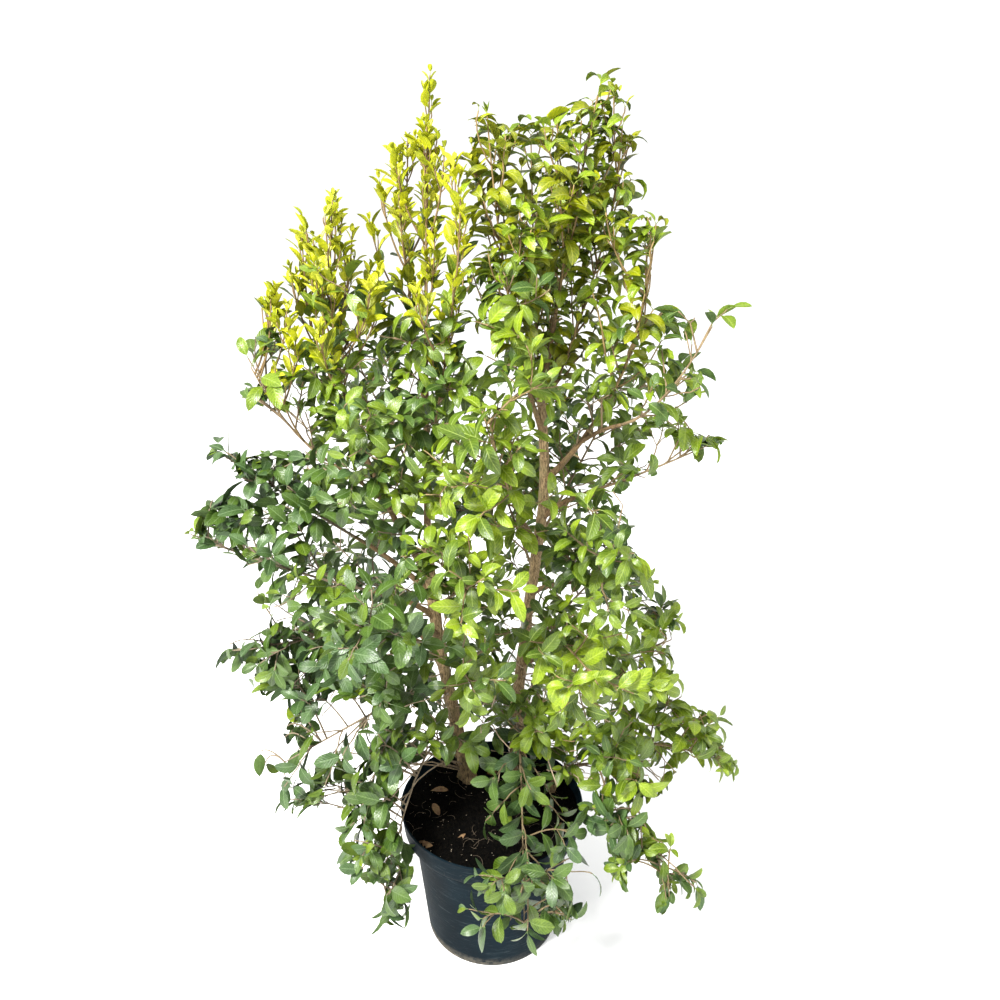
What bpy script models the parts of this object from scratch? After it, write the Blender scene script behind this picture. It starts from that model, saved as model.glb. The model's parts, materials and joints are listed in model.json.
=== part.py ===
"""A potted eugenia: two leaning trunks and a small third stem in a tapered plastic pot.

Metres, +Z up. The origin is the centre of the pot's flat underside, and the front is -Y.
Every limb and every mass of foliage is its own object, and touching objects keep a small gap.
"""
import math
from collections import namedtuple

import bmesh
import bpy
import numpy as np

# Clearance between two limbs that meet, and between a mass of foliage and the limb that it meets
GAP = 0.0003
MASS_GAP = 0.0005

# Pot, a turned shell with a wider collar at the top
POT_HEIGHT = 0.252
RIM_RADIUS = 0.150
BASE_RADIUS = 0.111
COLLAR_HEIGHT = 0.038
COLLAR_FOOT_RADIUS = 0.1455
WALL_TOP_RADIUS = 0.130
POT_WALL = 0.003
POT_CORNER = 0.003
POT_SIDES = 32
POT_COLOUR = (0.045, 0.068, 0.076)
POT_ROUGHNESS = 0.55

# Soil, level round the stems and sunken elsewhere. A ripple has its share and its waves along X and Y.
SOIL_BELOW_RIM = 0.020
SOIL_ROOM_IN_POT = 0.00036
SOIL_DIP = 0.006
SOIL_LEVEL_RADIUS = 0.045
SOIL_RINGS = 5
SOIL_RIPPLES = ((0.3, 71, 43), (0.2, -37, 95))
SOIL_COLOUR = (0.010, 0.008, 0.006)
SOIL_ROUGHNESS = 0.95

# Limbs
TRUNK_SIDES = 10
BOUGH_SIDES = 6
TRUNK_RINGS = 10
BOUGH_RINGS = 5
FOOT_CROWDING = 1.5
FLARE_HEIGHT = 0.022
FLARE_LOBES = 3
FLARE_LOBE_DEPTH = 0.18
SHARP_ANGLE = 35

# Twigs
TWIG_SIDES = 3
STEM_RADIUS = 0.0026
STEM_TIP_RADIUS = 0.0015
SHOOT_RADIUS = 0.0018
SHOOT_TIP_RADIUS = 0.0012
STEM_RINGS = 5
SHOOT_RINGS = 2
SHOOT_SPACING = 0.055
SHOOTS_FROM = 0.15
SHOOTS_TO = 0.85
FEWEST_SHOOT_PAIRS = 2
SHOOT_ANGLE_SPREAD = 8
SHOOT_LENGTH_SPREAD = (0.9, 1.1)
STEM_RUN_ON = 0.4
STEM_STOPS_SHORT = 0.85
STEM_FOOT_SHARE = 0.95

# Leaves, about half as long again as life. Shares are of the twig's length, and angles are in degrees.
LEAF_LENGTH = 0.080
LEAF_WIDTH = 0.048
LEAF_ROOT_THICKNESS = 0.0024
LEAF_WIDEST_AT = 0.50
LEAF_SPACING = 0.038
LEAVES_FROM_ON_STEM = 0.35
LEAVES_FROM_ON_SHOOT = 0.40
LEAVES_TO = 0.94
TIP_LEAF_AT = 0.98
TIP_LEAF_ANGLE = 6
LEAF_ANGLE_SPREAD = 10
LEAF_ROLL = 20
LEAF_LENGTH_SPREAD = (0.85, 1.1)

# A piece that doesn't fit is tried again, turned further round its twig and, for a shoot, shorter
TRIES = 5
SHOOT_TURN = 20
SHOOT_TURN_STEP = 15
SHOOT_SHORTENING = 0.13
LEAF_TURN = 10
LEAF_TURN_STEP = 12
SHOOT_SAMPLES = (0.3, 0.5, 0.7, 0.85, 1.0)
LEAF_SAMPLES = (0.25, 0.5, 0.75, 1.0)

# Fusing, and the share of the fused faces that is kept
FACES_KEPT = 0.46
MERGE_DISTANCE = 0.0000005
FIRST_SEED = 1000

# Room that twigs and leaves keep from limbs, from the pot, from each other and from other masses
LIMB_ROOM = 0.004
POT_ROOM = 0.004
LEAF_ROOM = 0.006
SPACE_MARGIN = 0.03
TIP_ROOM = 0.008
SPACE_TAPER = 0.45
FLOOR_ROOM = 0.02
SHOOTS_APART = 0.012

SOIL_TOP = POT_HEIGHT - SOIL_BELOW_RIM
STEM_FOOT = SOIL_TOP + GAP
UP = np.array((0.0, 0.0, 1.0))

# Directions that set where a limb's section, a stem's first shoots and a twig's first leaves lie
SECTION_SIDE = (0.31, 0.92, 0.24)
FIRST_SHOOT_SIDE = (0.2, 0.3, 0.93)
FIRST_LEAF_SIDE = (0.5, 0.2, 0.84)

Trunk = namedtuple("Trunk", "name route foot_radius tip_radius flare")
Bough = namedtuple("Bough", "name parent leaves_at tip foot_radius tip_radius arch")
Habit = namedtuple("Habit", "shoot_angle shoot_share rise leaf_angle")
Mass = namedtuple("Mass", "name parent leaves_at tip reach habit arch leaf_scale colour")

BARK = (0.245, 0.170, 0.078)
YOUNG_BARK = (0.300, 0.220, 0.115)
FLUSH = (0.420, 0.520, 0.050)
BRIGHT = (0.170, 0.330, 0.050)
MIDDLE = (0.085, 0.190, 0.040)
OLIVE = (0.110, 0.180, 0.040)
DARK = (0.030, 0.095, 0.040)
BARK_ROUGHNESS = 0.85
LEAF_ROUGHNESS = 0.45
LEAF_SHARP_ANGLE = 60

# A trunk's route runs from the cut at soil level to its fork
TRUNKS = (
    Trunk("left_trunk",
          ((-0.043, 0.077, STEM_FOOT), (-0.060, 0.056, 0.37), (-0.082, 0.042, 0.53), (-0.095, 0.026, 0.71)),
          0.0108, 0.0085, 0.006),
    Trunk("right_trunk",
          ((0.042, 0.108, STEM_FOOT), (0.044, 0.108, 0.37), (0.058, 0.082, 0.56), (0.078, 0.052, 0.78),
           (0.070, 0.042, 0.95)),
          0.0112, 0.0060, 0.006),
    Trunk("third_stem",
          ((0.101, 0.049, STEM_FOOT), (0.110, 0.046, 0.252), (0.124, 0.040, 0.286)),
          0.0062, 0.0045, 0.003),
)

# A bough leaves its parent's middle line at a height, and ends where it enters its mass
BOUGHS = (
    Bough("left_leader", "left_trunk", 0.690, (-0.085, 0.010, 1.000), 0.0058, 0.0032, 0.000),
    Bough("left_high_bough", "left_trunk", 0.655, (-0.180, -0.005, 0.890), 0.0056, 0.0032, -0.020),
    Bough("left_outer_bough", "left_high_bough", 0.830, (-0.215, 0.030, 0.930), 0.0030, 0.0024, -0.008),
    Bough("left_tier_bough", "left_high_bough", 0.780, (-0.215, -0.010, 0.850), 0.0032, 0.0024, 0.004),
    Bough("left_reach_bough", "left_trunk", 0.620, (-0.200, 0.030, 0.720), 0.0048, 0.0026, 0.007),
    Bough("left_mid_bough", "left_trunk", 0.580, (-0.180, -0.005, 0.650), 0.0044, 0.0026, 0.007),
    Bough("left_low_bough", "left_trunk", 0.510, (-0.165, 0.015, 0.560), 0.0044, 0.0026, 0.009),
    Bough("left_drop_bough", "left_trunk", 0.430, (-0.160, -0.025, 0.460), 0.0034, 0.0024, 0.014),
    Bough("left_front_bough", "left_trunk", 0.545, (-0.115, -0.060, 0.615), 0.0040, 0.0026, 0.006),
    Bough("left_back_bough", "left_trunk", 0.470, (-0.145, 0.125, 0.530), 0.0042, 0.0026, 0.007),
    Bough("right_leader", "right_trunk", 0.935, (0.088, 0.035, 1.050), 0.0046, 0.0030, -0.006),
    Bough("right_inner_bough", "right_trunk", 0.880, (0.045, 0.010, 0.980), 0.0042, 0.0026, -0.007),
    Bough("right_crown_back_bough", "right_trunk", 0.830, (0.080, 0.110, 0.930), 0.0044, 0.0026, -0.006),
    Bough("right_high_bough", "right_trunk", 0.800, (0.155, 0.010, 0.925), 0.0050, 0.0028, -0.010),
    Bough("right_arch_bough", "right_high_bough", 0.870, (0.175, -0.030, 0.915), 0.0032, 0.0024, 0.004),
    Bough("right_shoulder_bough", "right_trunk", 0.740, (0.150, 0.030, 0.795), 0.0044, 0.0026, 0.005),
    Bough("right_mid_bough", "right_trunk", 0.600, (0.120, -0.000, 0.660), 0.0042, 0.0026, 0.004),
    Bough("right_low_bough", "right_trunk", 0.455, (0.130, 0.040, 0.500), 0.0044, 0.0026, 0.006),
    Bough("right_back_bough", "right_trunk", 0.440, (0.125, 0.170, 0.515), 0.0042, 0.0026, 0.007),
    Bough("centre_bough", "right_trunk", 0.690, (0.045, -0.030, 0.775), 0.0044, 0.0028, 0.000),
    Bough("right_reach_bough", "third_stem", 0.274, (0.185, 0.030, 0.335), 0.0036, 0.0024, 0.009),
)

# Angles in degrees from the twig's own line, and the rise as a share of a shoot's length
HABITS = {
    "spire": Habit(30, 0.55, 0.22, 36),
    "spray": Habit(52, 0.58, 0.14, 54),
    "drop": Habit(48, 0.55, -0.22, 50),
}

# A mass grows from its bough's tip, or from a trunk's or leader's side at a height
MASSES = (
    Mass("left_spire", "left_leader", None, (-0.068, 0.010, 1.350), 0.100, "spire", 0.0, 0.72, FLUSH),
    Mass("left_inner_spires", "left_leader", 0.900, (-0.122, 0.055, 1.275), 0.100, "spire", -0.03, 0.78,
         FLUSH),
    Mass("left_front_spires", "left_leader", 0.840, (-0.030, -0.060, 1.190), 0.110, "spire", -0.03, 0.85,
         FLUSH),
    Mass("left_fan", "left_high_bough", None, (-0.185, -0.030, 1.215), 0.110, "spire", 0.0, 0.85, FLUSH),
    Mass("left_outer_spires", "left_outer_bough", None, (-0.240, 0.030, 1.165), 0.100, "spire", 0.0, 0.82,
         FLUSH),
    Mass("left_tier", "left_tier_bough", None, (-0.330, 0.000, 1.020), 0.150, "spray", 0.0, 0.90, MIDDLE),
    Mass("left_reach", "left_reach_bough", None, (-0.400, 0.030, 0.865), 0.150, "spray", 0.0, 0.95, DARK),
    Mass("left_mid", "left_mid_bough", None, (-0.435, -0.010, 0.745), 0.150, "spray", 0.0, 0.95, DARK),
    Mass("left_low", "left_low_bough", None, (-0.435, 0.000, 0.525), 0.155, "drop", 0.0, 1.00, DARK),
    Mass("left_drop", "left_drop_bough", None, (-0.370, -0.060, 0.345), 0.145, "drop", 0.0, 1.00, DARK),
    Mass("left_foot", "left_trunk", 0.335, (-0.170, -0.160, 0.150), 0.135, "drop", 0.11, 1.00, DARK),
    Mass("left_front", "left_front_bough", None, (-0.170, -0.225, 0.730), 0.155, "spray", 0.0, 1.00, MIDDLE),
    Mass("left_back", "left_back_bough", None, (-0.310, 0.290, 0.610), 0.160, "spray", 0.0, 1.00, DARK),
    Mass("left_back_high", "left_leader", 0.780, (-0.220, 0.230, 0.950), 0.155, "spray", 0.0, 1.00, MIDDLE),
    Mass("right_spire", "right_leader", None, (0.139, 0.030, 1.347), 0.110, "spire", 0.0, 0.90, OLIVE),
    Mass("right_inner", "right_inner_bough", None, (-0.003, -0.020, 1.310), 0.110, "spire", 0.0, 0.90, OLIVE),
    Mass("right_crown", "right_trunk", 0.890, (0.052, 0.090, 1.310), 0.105, "spire", -0.07, 0.90, OLIVE),
    Mass("right_crown_back", "right_crown_back_bough", None, (0.110, 0.200, 1.230), 0.125, "spire", 0.0, 0.95,
         OLIVE),
    Mass("right_flank", "right_trunk", 0.910, (0.180, 0.060, 1.275), 0.115, "spire", -0.04, 0.90, OLIVE),
    Mass("right_high", "right_high_bough", None, (0.210, 0.010, 1.185), 0.130, "spire", 0.0, 0.95, OLIVE),
    Mass("right_arch", "right_arch_bough", None, (0.288, -0.040, 1.065), 0.135, "spray", 0.0, 0.95, MIDDLE),
    Mass("right_shoulder", "right_shoulder_bough", None, (0.320, 0.000, 0.885), 0.150, "spray", 0.0, 0.95,
         MIDDLE),
    Mass("right_mid", "right_mid_bough", None, (0.170, -0.120, 0.830), 0.155, "spray", 0.0, 1.00, MIDDLE),
    Mass("right_low", "right_low_bough", None, (0.300, -0.010, 0.580), 0.155, "spray", 0.0, 1.00, MIDDLE),
    Mass("right_front", "right_trunk", 0.540, (0.150, -0.190, 0.600), 0.155, "spray", 0.02, 1.00, BRIGHT),
    Mass("right_back", "right_back_bough", None, (0.280, 0.310, 0.600), 0.160, "spray", 0.0, 1.00, DARK),
    Mass("right_back_high", "right_trunk", 0.700, (0.230, 0.240, 0.930), 0.160, "spray", 0.0, 1.00, MIDDLE),
    Mass("centre", "centre_bough", None, (-0.015, -0.190, 1.005), 0.150, "spray", 0.0, 1.00, BRIGHT),
    Mass("centre_mid", "left_trunk", 0.600, (0.000, -0.200, 0.780), 0.135, "spray", 0.0, 1.00, BRIGHT),
    Mass("centre_low", "left_trunk", 0.500, (-0.015, -0.190, 0.590), 0.145, "spray", 0.02, 1.00, MIDDLE),
    Mass("centre_back", "right_trunk", 0.640, (-0.010, 0.310, 0.760), 0.170, "spray", 0.0, 1.00, MIDDLE),
    Mass("right_reach", "right_reach_bough", None, (0.405, 0.000, 0.315), 0.155, "drop", 0.0, 1.00, BRIGHT),
    Mass("right_drop", "third_stem", 0.268, (0.275, -0.150, 0.190), 0.145, "drop", 0.11, 1.00, MIDDLE),
    Mass("front_drop", "right_trunk", 0.330, (0.050, -0.215, 0.165), 0.145, "drop", 0.10, 0.95, BRIGHT),
)


def unit(vector):
    return vector / np.linalg.norm(vector)


def turned(vector, axis, degrees):
    """The vector turned about a unit axis."""
    angle = math.radians(degrees)
    across = np.cross(axis, vector)
    return vector * math.cos(angle) + across * math.sin(angle) + axis * (axis @ vector) * (1 - math.cos(angle))


def bezier(start, control, end, count):
    """A smooth bend from start to end, drawn towards the control point."""
    share = np.linspace(0, 1, count)[:, None]
    return start * (1 - share) ** 2 + control * 2 * share * (1 - share) + end * share ** 2


def smooth_route(points, shares):
    """Places along a smooth curve through hand-set points, as a Catmull-Rom spline."""
    points = np.array(points)
    padded = np.vstack((2 * points[0] - points[1], points, 2 * points[-1] - points[-2]))
    route = []
    for place in shares * (len(points) - 1):
        index = min(int(place), len(points) - 2)
        share = place - index
        before, start, end, after = padded[index:index + 4]
        bend = (2 * before - 5 * start + 4 * end - after) * share ** 2
        twist = (3 * start - before - 3 * end + after) * share ** 3
        route.append((2 * start + (end - before) * share + bend + twist) / 2)
    return np.array(route)


class Limb:
    """A tapering round limb along a route, which can tell how far points are from its skin."""

    def __init__(self, route, radii, sides, level=False, lobes=None):
        self.route = route
        self.radii = radii
        self.sides = sides
        self.level = level
        self.lobes = lobes
        steps = np.diff(route, axis=0)
        self.length = np.linalg.norm(steps, axis=1).sum()
        tangents = np.vstack((steps[:1], steps[:-1] + steps[1:], steps[-1:]))
        self.tangents = tangents / np.linalg.norm(tangents, axis=1)[:, None]

    def rings(self, grow=0.0):
        """Rings of points, level or square to the route. A grown limb is thicker and longer all round."""
        rings = []
        first = self.tangents[0]
        side = unit(np.cross(first, SECTION_SIDE))
        for index, (centre, tangent, radius) in enumerate(zip(self.route, self.tangents, self.radii)):
            normal = UP if self.level else tangent
            side = unit(side - normal * (side @ normal))
            across = np.cross(normal, side)
            if index == 0:
                centre = centre - tangent * grow
            if index == len(self.route) - 1:
                centre = centre + tangent * grow
            angles = np.arange(self.sides) * 2 * math.pi / self.sides
            swell = np.ones(self.sides)
            if self.lobes is not None:
                swell = swell + self.lobes[index] * np.cos(FLARE_LOBES * angles)
            reach = radius * swell + grow
            offsets = np.outer(reach * np.cos(angles), side) + np.outer(reach * np.sin(angles), across)
            rings.append(centre + offsets)
        return rings

    def at(self, share):
        """Point, direction and radius at a share of the way along the route."""
        place = share * (len(self.route) - 1)
        index = min(int(place), len(self.route) - 2)
        part = place - index
        point = self.route[index] * (1 - part) + self.route[index + 1] * part
        tangent = unit(self.tangents[index] * (1 - part) + self.tangents[index + 1] * part)
        radius = self.radii[index] * (1 - part) + self.radii[index + 1] * part
        return point, tangent, radius

    def at_height(self, height):
        """The point of the middle line at a height."""
        index = int(np.argmax(self.route[:, 2] > height)) - 1
        low, high = self.route[index], self.route[index + 1]
        return low + (high - low) * (height - low[2]) / (high[2] - low[2])

    def nearest(self, points):
        """How far each point is from the middle line, and the nearest place's number along the route."""
        starts = self.route[:-1]
        steps = self.route[1:] - starts
        offsets = points[:, None, :] - starts[None]
        shares = np.clip((offsets * steps).sum(2) / (steps ** 2).sum(1), 0, 1)
        gaps = np.linalg.norm(offsets - shares[:, :, None] * steps[None], axis=2)
        closest = gaps.argmin(axis=1)
        rows = np.arange(len(points))
        return gaps[rows, closest], closest + shares[rows, closest]

    def distances(self, points):
        """How far each point is from the limb's skin."""
        gaps, places = self.nearest(points)
        return gaps - np.interp(places, np.arange(len(self.radii)), self.radii)


def plain_material(name, colour, roughness):
    material = bpy.data.materials.new(name)
    material.use_nodes = True
    shader = material.node_tree.nodes["Principled BSDF"]
    shader.inputs["Base Color"].default_value = (*colour, 1.0)
    shader.inputs["Roughness"].default_value = roughness
    shader.inputs["Metallic"].default_value = 0.0
    return material


def add_object(name, bm, collection=None):
    """An object from an edited mesh, with its faces turned outward."""
    bmesh.ops.recalc_face_normals(bm, faces=bm.faces)
    mesh = bpy.data.meshes.new(name)
    bm.to_mesh(mesh)
    bm.free()
    item = bpy.data.objects.new(name, mesh)
    (collection or bpy.context.scene.collection).objects.link(item)
    return item


def loft(name, rings, collection=None):
    """A closed body through rings of points, with a flat cap at each end."""
    bm = bmesh.new()
    loops = [[bm.verts.new(point) for point in ring] for ring in rings]
    bm.faces.new(loops[0])
    bm.faces.new(loops[-1])
    for lower, upper in zip(loops, loops[1:]):
        for index in range(len(lower)):
            bm.faces.new((lower[index - 1], lower[index], upper[index]))
            bm.faces.new((lower[index - 1], upper[index], upper[index - 1]))
    return add_object(name, bm, collection)


def remove_object(item):
    mesh = item.data
    bpy.data.objects.remove(item)
    bpy.data.meshes.remove(mesh)


def finish(item, colour, roughness, sharp_angle=SHARP_ANGLE):
    """Gives an object its own material and smooth shading between its sharp edges."""
    item.data.materials.clear()
    item.data.materials.append(plain_material(item.name, colour, roughness))
    item.data.shade_smooth()
    item.data.set_sharp_from_angle(angle=math.radians(sharp_angle))


def apply_modifiers(item):
    graph = bpy.context.evaluated_depsgraph_get()
    old = item.data
    item.data = bpy.data.meshes.new_from_object(item.evaluated_get(graph))
    item.modifiers.clear()
    bpy.data.meshes.remove(old)


def cut_clear(item, parent, gap=GAP):
    """Cuts the part of a limb that runs inside its parent, and leaves the gap between them."""
    cutter = loft("cutter", parent.rings(gap))
    cutter.hide_render = True
    cutter.display_type = "WIRE"
    seat = item.modifiers.new("seat", "BOOLEAN")
    seat.operation = "DIFFERENCE"
    seat.object = cutter
    apply_modifiers(item)
    remove_object(cutter)


def keep_main_body(item):
    """Keeps the body with the most faces: sealed hollows are filled and loose scraps dropped."""
    bm = bmesh.new()
    bm.from_mesh(item.data)
    bodies = []
    waiting = set(bm.faces)
    while waiting:
        edge_of_search = [waiting.pop()]
        body = list(edge_of_search)
        while edge_of_search:
            face = edge_of_search.pop()
            for edge in face.edges:
                for near in edge.link_faces:
                    if near in waiting:
                        waiting.remove(near)
                        body.append(near)
                        edge_of_search.append(near)
        bodies.append(body)
    bodies.sort(key=len)
    for body in bodies[:-1]:
        bmesh.ops.delete(bm, geom=body, context="FACES")
    bm.to_mesh(item.data)
    bm.free()


def pot_rings(profile):
    """Rings of a turned body from its profile of radius and height."""
    angles = (np.arange(POT_SIDES) + 0.5) * 2 * math.pi / POT_SIDES
    circle = np.stack((np.cos(angles), np.sin(angles)), axis=1)
    return [np.column_stack((circle * radius, np.full(POT_SIDES, height))) for radius, height in profile]


def outer_profile():
    collar_foot = POT_HEIGHT - COLLAR_HEIGHT
    return ((BASE_RADIUS - POT_CORNER, 0.0), (BASE_RADIUS, POT_CORNER),
            (WALL_TOP_RADIUS, collar_foot), (COLLAR_FOOT_RADIUS, collar_foot + POT_CORNER / 2),
            (RIM_RADIUS, POT_HEIGHT - POT_CORNER), (RIM_RADIUS - POT_WALL / 4, POT_HEIGHT))


def inner_profile(room=0.0):
    """The inside from the rim down to the floor, drawn in by some room."""
    inset = POT_WALL + room
    collar_foot = POT_HEIGHT - COLLAR_HEIGHT
    return ((RIM_RADIUS - inset, POT_HEIGHT), (COLLAR_FOOT_RADIUS - inset, collar_foot + POT_WALL + room),
            (WALL_TOP_RADIUS - inset, collar_foot - POT_CORNER), (BASE_RADIUS - inset, POT_WALL + room))


def make_pot():
    pot = loft("pot", pot_rings(outer_profile() + inner_profile()))
    finish(pot, POT_COLOUR, POT_ROUGHNESS)


def soil_height(x, y):
    """The soil's surface, level round each stem's foot and dipping gently between them."""
    nearest = min(math.hypot(x - trunk.route[0][0], y - trunk.route[0][1]) for trunk in TRUNKS)
    away = min(1.0, max(0.0, nearest / SOIL_LEVEL_RADIUS - 1.0))
    ripple = sum(share * (1 + math.sin(x * along_x + y * along_y)) for share, along_x, along_y in SOIL_RIPPLES)
    return SOIL_TOP - SOIL_DIP * away * ripple


def make_soil():
    inside = inner_profile(SOIL_ROOM_IN_POT)
    top, shoulder = inside[0], inside[1]
    rise = (SOIL_TOP - SOIL_DIP - shoulder[1]) / (top[1] - shoulder[1])
    edge_radius = shoulder[0] + rise * (top[0] - shoulder[0])
    edge = (edge_radius, SOIL_TOP - SOIL_DIP)
    rings = pot_rings(inside[:0:-1] + (edge,))
    for radius in np.linspace(edge_radius, 0.0, SOIL_RINGS + 1)[1:-1]:
        ring = pot_rings(((radius, 0.0),))[0]
        ring[:, 2] = [soil_height(x, y) for x, y, _ in ring]
        rings.append(ring)
    finish(loft("soil", rings), SOIL_COLOUR, SOIL_ROUGHNESS)


def make_trunk(trunk):
    """A leaning trunk from a level cut at soil height, with a lobed flare at its foot."""
    share = np.linspace(0, 1, TRUNK_RINGS) ** FOOT_CROWDING
    route = smooth_route(trunk.route, share)
    near_foot = np.exp(-(route[:, 2] - STEM_FOOT) / FLARE_HEIGHT)
    radii = trunk.foot_radius + (trunk.tip_radius - trunk.foot_radius) * share + trunk.flare * near_foot
    limb = Limb(route, radii, TRUNK_SIDES, level=True, lobes=FLARE_LOBE_DEPTH * near_foot)
    finish(loft(trunk.name, limb.rings()), BARK, BARK_ROUGHNESS)
    return limb


def make_bough(bough, parent):
    start = parent.at_height(bough.leaves_at)
    end = np.array(bough.tip)
    control = (start + end) / 2 + UP * 2 * bough.arch
    route = bezier(start, control, end, BOUGH_RINGS)
    radii = np.linspace(bough.foot_radius, bough.tip_radius, BOUGH_RINGS)
    limb = Limb(route, radii, BOUGH_SIDES)
    item = loft(bough.name, limb.rings())
    cut_clear(item, parent)
    finish(item, YOUNG_BARK, BARK_ROUGHNESS)
    return limb


def stem_of(mass, parent):
    """A mass's stem. From a bough's tip it goes on in the bough's own direction."""
    tip = np.array(mass.tip)
    if mass.leaves_at is None:
        tangent = parent.tangents[-1]
        start = parent.route[-1] + tangent * GAP
        control = start + tangent * STEM_RUN_ON * np.linalg.norm(tip - start)
    else:
        start = parent.at_height(mass.leaves_at)
        control = (start + tip) / 2 + UP * 2 * mass.arch
    end = tip - unit(tip - control) * LEAF_LENGTH * mass.leaf_scale * STEM_STOPS_SHORT
    foot_radius = min(STEM_RADIUS, parent.radii[-1] * STEM_FOOT_SHARE)
    radii = np.linspace(foot_radius, STEM_TIP_RADIUS, STEM_RINGS)
    return Limb(bezier(start, control, end, STEM_RINGS), radii, TWIG_SIDES)


def middle_line(mass, stems):
    """The line that a mass's space lies round: its stem, carried on to its outermost point."""
    route = np.vstack((stems[mass.name].route, mass.tip))
    return Limb(route, np.zeros(len(route)), TWIG_SIDES)


class Room:
    """The space of one mass: near its own stem, and clear of limbs, pot, floor and other masses."""

    def __init__(self, mass, stems, limbs):
        self.mass = mass
        self.own = middle_line(mass, stems)
        self.others = [(other.reach, middle_line(other, stems)) for other in MASSES if other is not mass]
        self.limbs = limbs

    def holds(self, points, limb_room):
        gaps, places = self.own.nearest(points)
        own = gaps / self.mass.reach
        if (own > 1.0 - SPACE_TAPER * places / STEM_RINGS).any() or points[:, 2].min() < FLOOR_ROOM:
            return False
        if ((points - self.mass.tip) @ self.own.tangents[-1]).max() > TIP_ROOM:
            return False
        for reach, stem in self.others:
            if (stem.nearest(points)[0] / reach < own + SPACE_MARGIN).any():
                return False
        if any(limb.distances(points).min() < limb_room for limb in self.limbs):
            return False
        return not (pot_depth(points) > -POT_ROOM).any()


def pot_depth(points):
    """How far points are inside the pot's outline, negative where they are clear of it."""
    radii, heights = np.array(outer_profile()).T
    outline = np.interp(points[:, 2], heights, radii)
    outward = outline - np.hypot(points[:, 0], points[:, 1])
    below_rim = POT_HEIGHT - points[:, 2]
    return np.minimum(outward, below_rim)


def add_shoots(mass, stem, room, rng):
    """Side shoots in opposite pairs, each pair turned a right angle from the last."""
    habit = HABITS[mass.habit]
    shoots = []
    pairs = max(FEWEST_SHOOT_PAIRS, round(stem.length / SHOOT_SPACING))
    side = unit(np.cross(stem.tangents[0], FIRST_SHOOT_SIDE))
    for pair in range(pairs):
        point, tangent, _ = stem.at(SHOOTS_FROM + (SHOOTS_TO - SHOOTS_FROM) * (pair + 0.5) / pairs)
        for half in (0, 180):
            for attempt in range(TRIES):
                spread = SHOOT_TURN + SHOOT_TURN_STEP * attempt
                around = turned(unit(side - tangent * (side @ tangent)), tangent,
                                90 * pair + half + rng.uniform(-spread, spread))
                angle = habit.shoot_angle + rng.uniform(-SHOOT_ANGLE_SPREAD, SHOOT_ANGLE_SPREAD)
                heading = tangent * math.cos(math.radians(angle)) + around * math.sin(math.radians(angle))
                length = mass.reach * habit.shoot_share * rng.uniform(*SHOOT_LENGTH_SPREAD)
                length *= 1 - SHOOT_SHORTENING * attempt
                end = point + (heading + UP * habit.rise) * length
                route = bezier(point, point + heading * length * 0.5, end, SHOOT_RINGS)
                shoot = Limb(route, np.linspace(SHOOT_RADIUS, SHOOT_TIP_RADIUS, SHOOT_RINGS), TWIG_SIDES)
                samples = np.array([shoot.at(share)[0] for share in SHOOT_SAMPLES])
                if not room.holds(samples, LIMB_ROOM + SHOOT_RADIUS):
                    continue
                if any(other.distances(samples[1:]).min() < SHOOTS_APART for other in shoots):
                    continue
                shoots.append(shoot)
                break
    return shoots


class Leaf:
    """A thin six-faced blade, thickest at its root and drawn out to an edge all round."""

    def __init__(self, root, along, facing, length):
        width = length * LEAF_WIDTH / LEAF_LENGTH
        side = np.cross(along, facing)
        middle = root + along * length * LEAF_WIDEST_AT
        self.root = root
        self.tip = root + along * length
        self.left = middle + side * width / 2
        self.right = middle - side * width / 2
        self.ridge = (root + facing * LEAF_ROOT_THICKNESS / 2, root - facing * LEAF_ROOT_THICKNESS / 2)

    def samples(self):
        """Points over the blade, closer together than the thinnest limb and its room."""
        points = []
        for share in LEAF_SAMPLES:
            points.append(self.root + (self.tip - self.root) * share)
            for corner in (self.left, self.right):
                points.append(self.root + (corner - self.root) * share)
                points.append(self.tip + (corner - self.tip) * share)
        return np.array(points)

    def body(self, name, collection):
        bm = bmesh.new()
        left, tip, right = (bm.verts.new(point) for point in (self.left, self.tip, self.right))
        upper, lower = (bm.verts.new(point) for point in self.ridge)
        for peak in (upper, lower):
            bm.faces.new((left, tip, peak))
            bm.faces.new((tip, right, peak))
        for corner in (left, right):
            bm.faces.new((corner, upper, lower))
        return add_object(name, bm, collection)


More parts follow.
